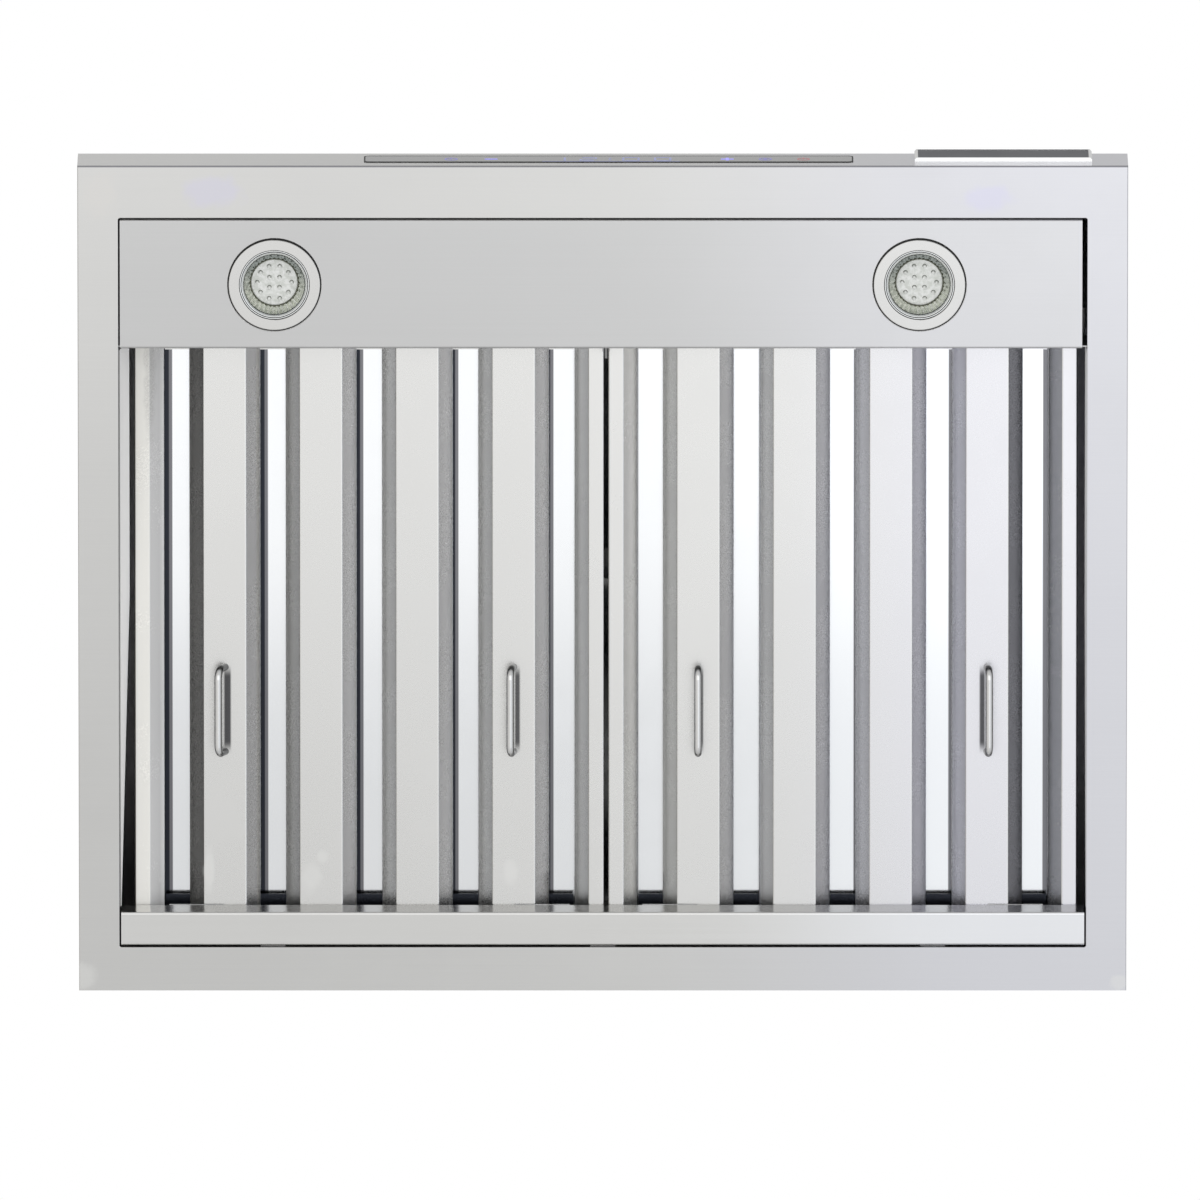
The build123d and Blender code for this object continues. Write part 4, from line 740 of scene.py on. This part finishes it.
for side, centre in lamp_places.items():
    for start, profile, material, slot in lamp_trim(side):
        turned(start + side, centre, profile, material)


# Control strip: its black seal, which also stands for the shadow gap around the glass, the digits of a clock
# and the touch signs

# The seal is wider along its lower edge, a painted shadow along that edge
seal_lift = 0.0001
seal_depth = 0.0004
seal_rise = 0.0014
seal_outside = rounded(0.3550, 0.0266, 0.0040)
seal_inside = [(px, pz + seal_rise) for px, pz in rounded(0.3530, 0.0222, 0.0030)]
seal_shape = ((seal_outside, seal_inside), strip_middle, strip_face - seal_lift, seal_depth)
strip_piece("control_seal_gap_shade", (seal_shape,), "seal")

# Segments of a digit: widths and half heights off its middle, and whether they lie level

segments = {
    "a": (0.0, 1.0, True), "g": (0.0, 0.0, True), "d": (0.0, -1.0, True),
    "f": (-0.5, 0.5, False), "b": (0.5, 0.5, False), "e": (-0.5, -0.5, False), "c": (0.5, -0.5, False),
}
digit_segments = {"0": "abcdef", "1": "bc", "2": "abged"}
digit_width = 0.011
digit_half_height = 0.0065
digit_stroke = 0.0016
clock = (("1", -0.0330), ("2", -0.0105), ("0", 0.0205), ("0", 0.0435))


def digit(character, x):
    shapes = []
    for key in digit_segments[character]:
        across, up, level = segments[key]
        size = (digit_width * 0.8, digit_stroke) if level else (digit_stroke, digit_half_height * 0.8)
        shapes.append(mark(x + across * digit_width, up * digit_half_height, bar(*size)))
    return shapes


display = [shape for character, x in clock for shape in digit(character, x)]
display += [mark(0.0052, z, circle(0.0010, 16)) for z in (-0.003, 0.003)]
display.append(mark(0.0060, -0.0090, bar(0.1000, 0.0012)))
strip_piece("display_digits", display, "pale_blue_light")

timer_x = -0.1100
lamp_sign_x = 0.1180
minus_x = -0.0810
plus_x = 0.0904
power_x = 0.1456
strip_piece("touch_marks_dim", (
    mark(timer_x, 0.0, circle(0.0048), circle(0.0038)),
    mark(timer_x, 0.0014, bar(0.0010, 0.0032)),
    mark(lamp_sign_x, 0.0, circle(0.0048), circle(0.0038)),
    mark(lamp_sign_x, 0.0, circle(0.0016, 16)),
), "dim_violet_light")
strip_piece("touch_marks", (
    mark(minus_x, 0.0, bar(0.0095, 0.0022)),
    mark(plus_x, 0.0, bar(0.0095, 0.0022)),
    mark(plus_x, 0.0030, bar(0.0022, 0.0036)),
    mark(plus_x, -0.0030, bar(0.0022, 0.0036)),
), "violet_light")
strip_piece("power_mark", (
    mark(power_x, 0.0, circle(0.0046), circle(0.0036)),
    mark(power_x, 0.0030, bar(0.0011, 0.0052), lift=over_mark_lift),
), "dim_red_light")


# Stage: a pale floor below the hood, a white world and soft lamps

def mixed(tree, factor, first, second):
    return add(tree, "ShaderNodeMixShader", {0: factor, 1: first.outputs[0], 2: second.outputs[0]})


def make_world():
    """White to the camera, and in reflections a soft change of tone from below to above."""
    world = bpy.data.worlds.new("studio")
    bpy.context.scene.world = world
    world.use_nodes = True
    tree = world.node_tree
    tree.nodes.clear()
    output = tree.nodes.new("ShaderNodeOutputWorld")
    way = split(tree, add(tree, "ShaderNodeTexCoord").outputs["Generated"])
    path = add(tree, "ShaderNodeLightPath").outputs
    white = (1.0, 1.0, 1.0, 1.0)
    tone = tinted(tree, (1.0, 0.985, 0.96, 1.0), (0.965, 0.985, 1.0, 1.0), ramp(tree, way["X"], -1.0, 1.0))
    below = ramp(tree, way["Z"], -0.95, -0.1, 0.72, 0.50)
    above = ramp(tree, way["Z"], -0.1, 0.95, 0.0, 0.14)
    glossy = add(tree, "ShaderNodeBackground", {"Color": tone, "Strength": plus(tree, below, above)})
    diffuse = add(tree, "ShaderNodeBackground", {"Color": white, "Strength": 0.80})
    camera = add(tree, "ShaderNodeBackground", {"Color": white, "Strength": 1.0})
    seen = calc(tree, "MAXIMUM", path["Is Glossy Ray"], path["Is Transmission Ray"])
    lit = mixed(tree, seen, diffuse, glossy)
    shown = mixed(tree, path["Is Camera Ray"], lit, camera)
    tree.links.new(shown.outputs[0], output.inputs["Surface"])


def make_floor(height=-0.72, reach=30.0):
    """A pale floor that the camera sees from above, and that lets all other rays through."""
    material, tree, output = new_material("floor_paint")
    grain = noise(tree, place(tree), (60.0, 60.0, 60.0), 3.0)
    shade = spread(tree, grain, 0.86, 0.90)
    colour = add(tree, "ShaderNodeCombineColor", {0: shade, 1: shade, 2: shade}).outputs[0]
    paint = add(tree, "ShaderNodeBsdfDiffuse", {"Color": colour})
    clear = add(tree, "ShaderNodeBsdfTransparent")
    path = add(tree, "ShaderNodeLightPath").outputs
    back = add(tree, "ShaderNodeNewGeometry").outputs["Backfacing"]
    shown = times(tree, path["Is Camera Ray"], minus(tree, 1.0, back))
    tree.links.new(mixed(tree, shown, clear, paint).outputs[0], output.inputs["Surface"])
    mesh = bpy.data.meshes.new("studio_floor")
    corners = [(sx * reach, sy * reach, height) for sx, sy in ((-1, -1), (1, -1), (1, 1), (-1, 1))]
    mesh.from_pydata(corners, [], [(0, 1, 2, 3)])
    mesh.materials.append(material)
    floor = bpy.data.objects.new("studio_floor", mesh)
    bpy.context.scene.collection.objects.link(floor)


def area_lamp(name, spot, target, size, power, colour=(1.0, 1.0, 1.0)):
    light = bpy.data.lights.new(name, "AREA")
    light.shape = "RECTANGLE"
    light.size, light.size_y = size
    light.energy = power
    light.color = colour
    lamp = bpy.data.objects.new(name, light)
    bpy.context.scene.collection.objects.link(lamp)
    lamp.location = spot
    lamp.rotation_euler = (Vector(target) - Vector(spot)).to_track_quat("-Z", "Y").to_euler()
    lamp.visible_camera = False


def make_camera(elevation=-79.0, distance=30.0, sensor=36.0):
    """A long lens far below and a little in front of the hood, looking up at its lower rim."""
    picture_pixels = 1200.0
    pixels_per_metre = 1376.7
    pixels_left = 2.7
    pixels_down = 21.0
    angle = math.radians(elevation)
    back = Vector((0.0, -math.cos(angle), math.sin(angle)))
    right = Vector((1.0, 0.0, 0.0))
    up = right.cross(-back)
    camera = bpy.data.cameras.new("photo_camera")
    camera.sensor_width = sensor
    camera.lens = sensor * distance * pixels_per_metre / picture_pixels
    camera.clip_start = 1.0
    camera.clip_end = 200.0
    holder = bpy.data.objects.new("photo_camera", camera)
    bpy.context.scene.collection.objects.link(holder)
    rim_middle = Vector((0.0, hood_front / 2, 0.0))
    aim = rim_middle - (right * pixels_left + up * pixels_down) / pixels_per_metre
    holder.location = aim + back * distance
    holder.rotation_euler = (-back).to_track_quat("-Z", "Y").to_euler()
    bpy.context.scene.camera = holder


make_world()
make_floor()
chimney_foot = (0.0, -0.3, 0.3)
area_lamp("key", (-1.6, -2.4, 2.2), chimney_foot, (2.8, 2.8), 9.0)
area_lamp("fill", (2.2, -1.6, 1.4), chimney_foot, (2.4, 2.4), 5.0)
area_lamp("below_right", (0.95, -0.10, -2.1), (0.95, -0.10, 0.0), (1.6, 2.2), 2.5, (0.88, 0.93, 1.0))
area_lamp("below_front", (0.0, -0.88, -2.0), (0.0, -0.88, 0.0), (3.4, 1.6), 6.1)
make_camera()
bpy.context.scene.view_settings.view_transform = "Standard"
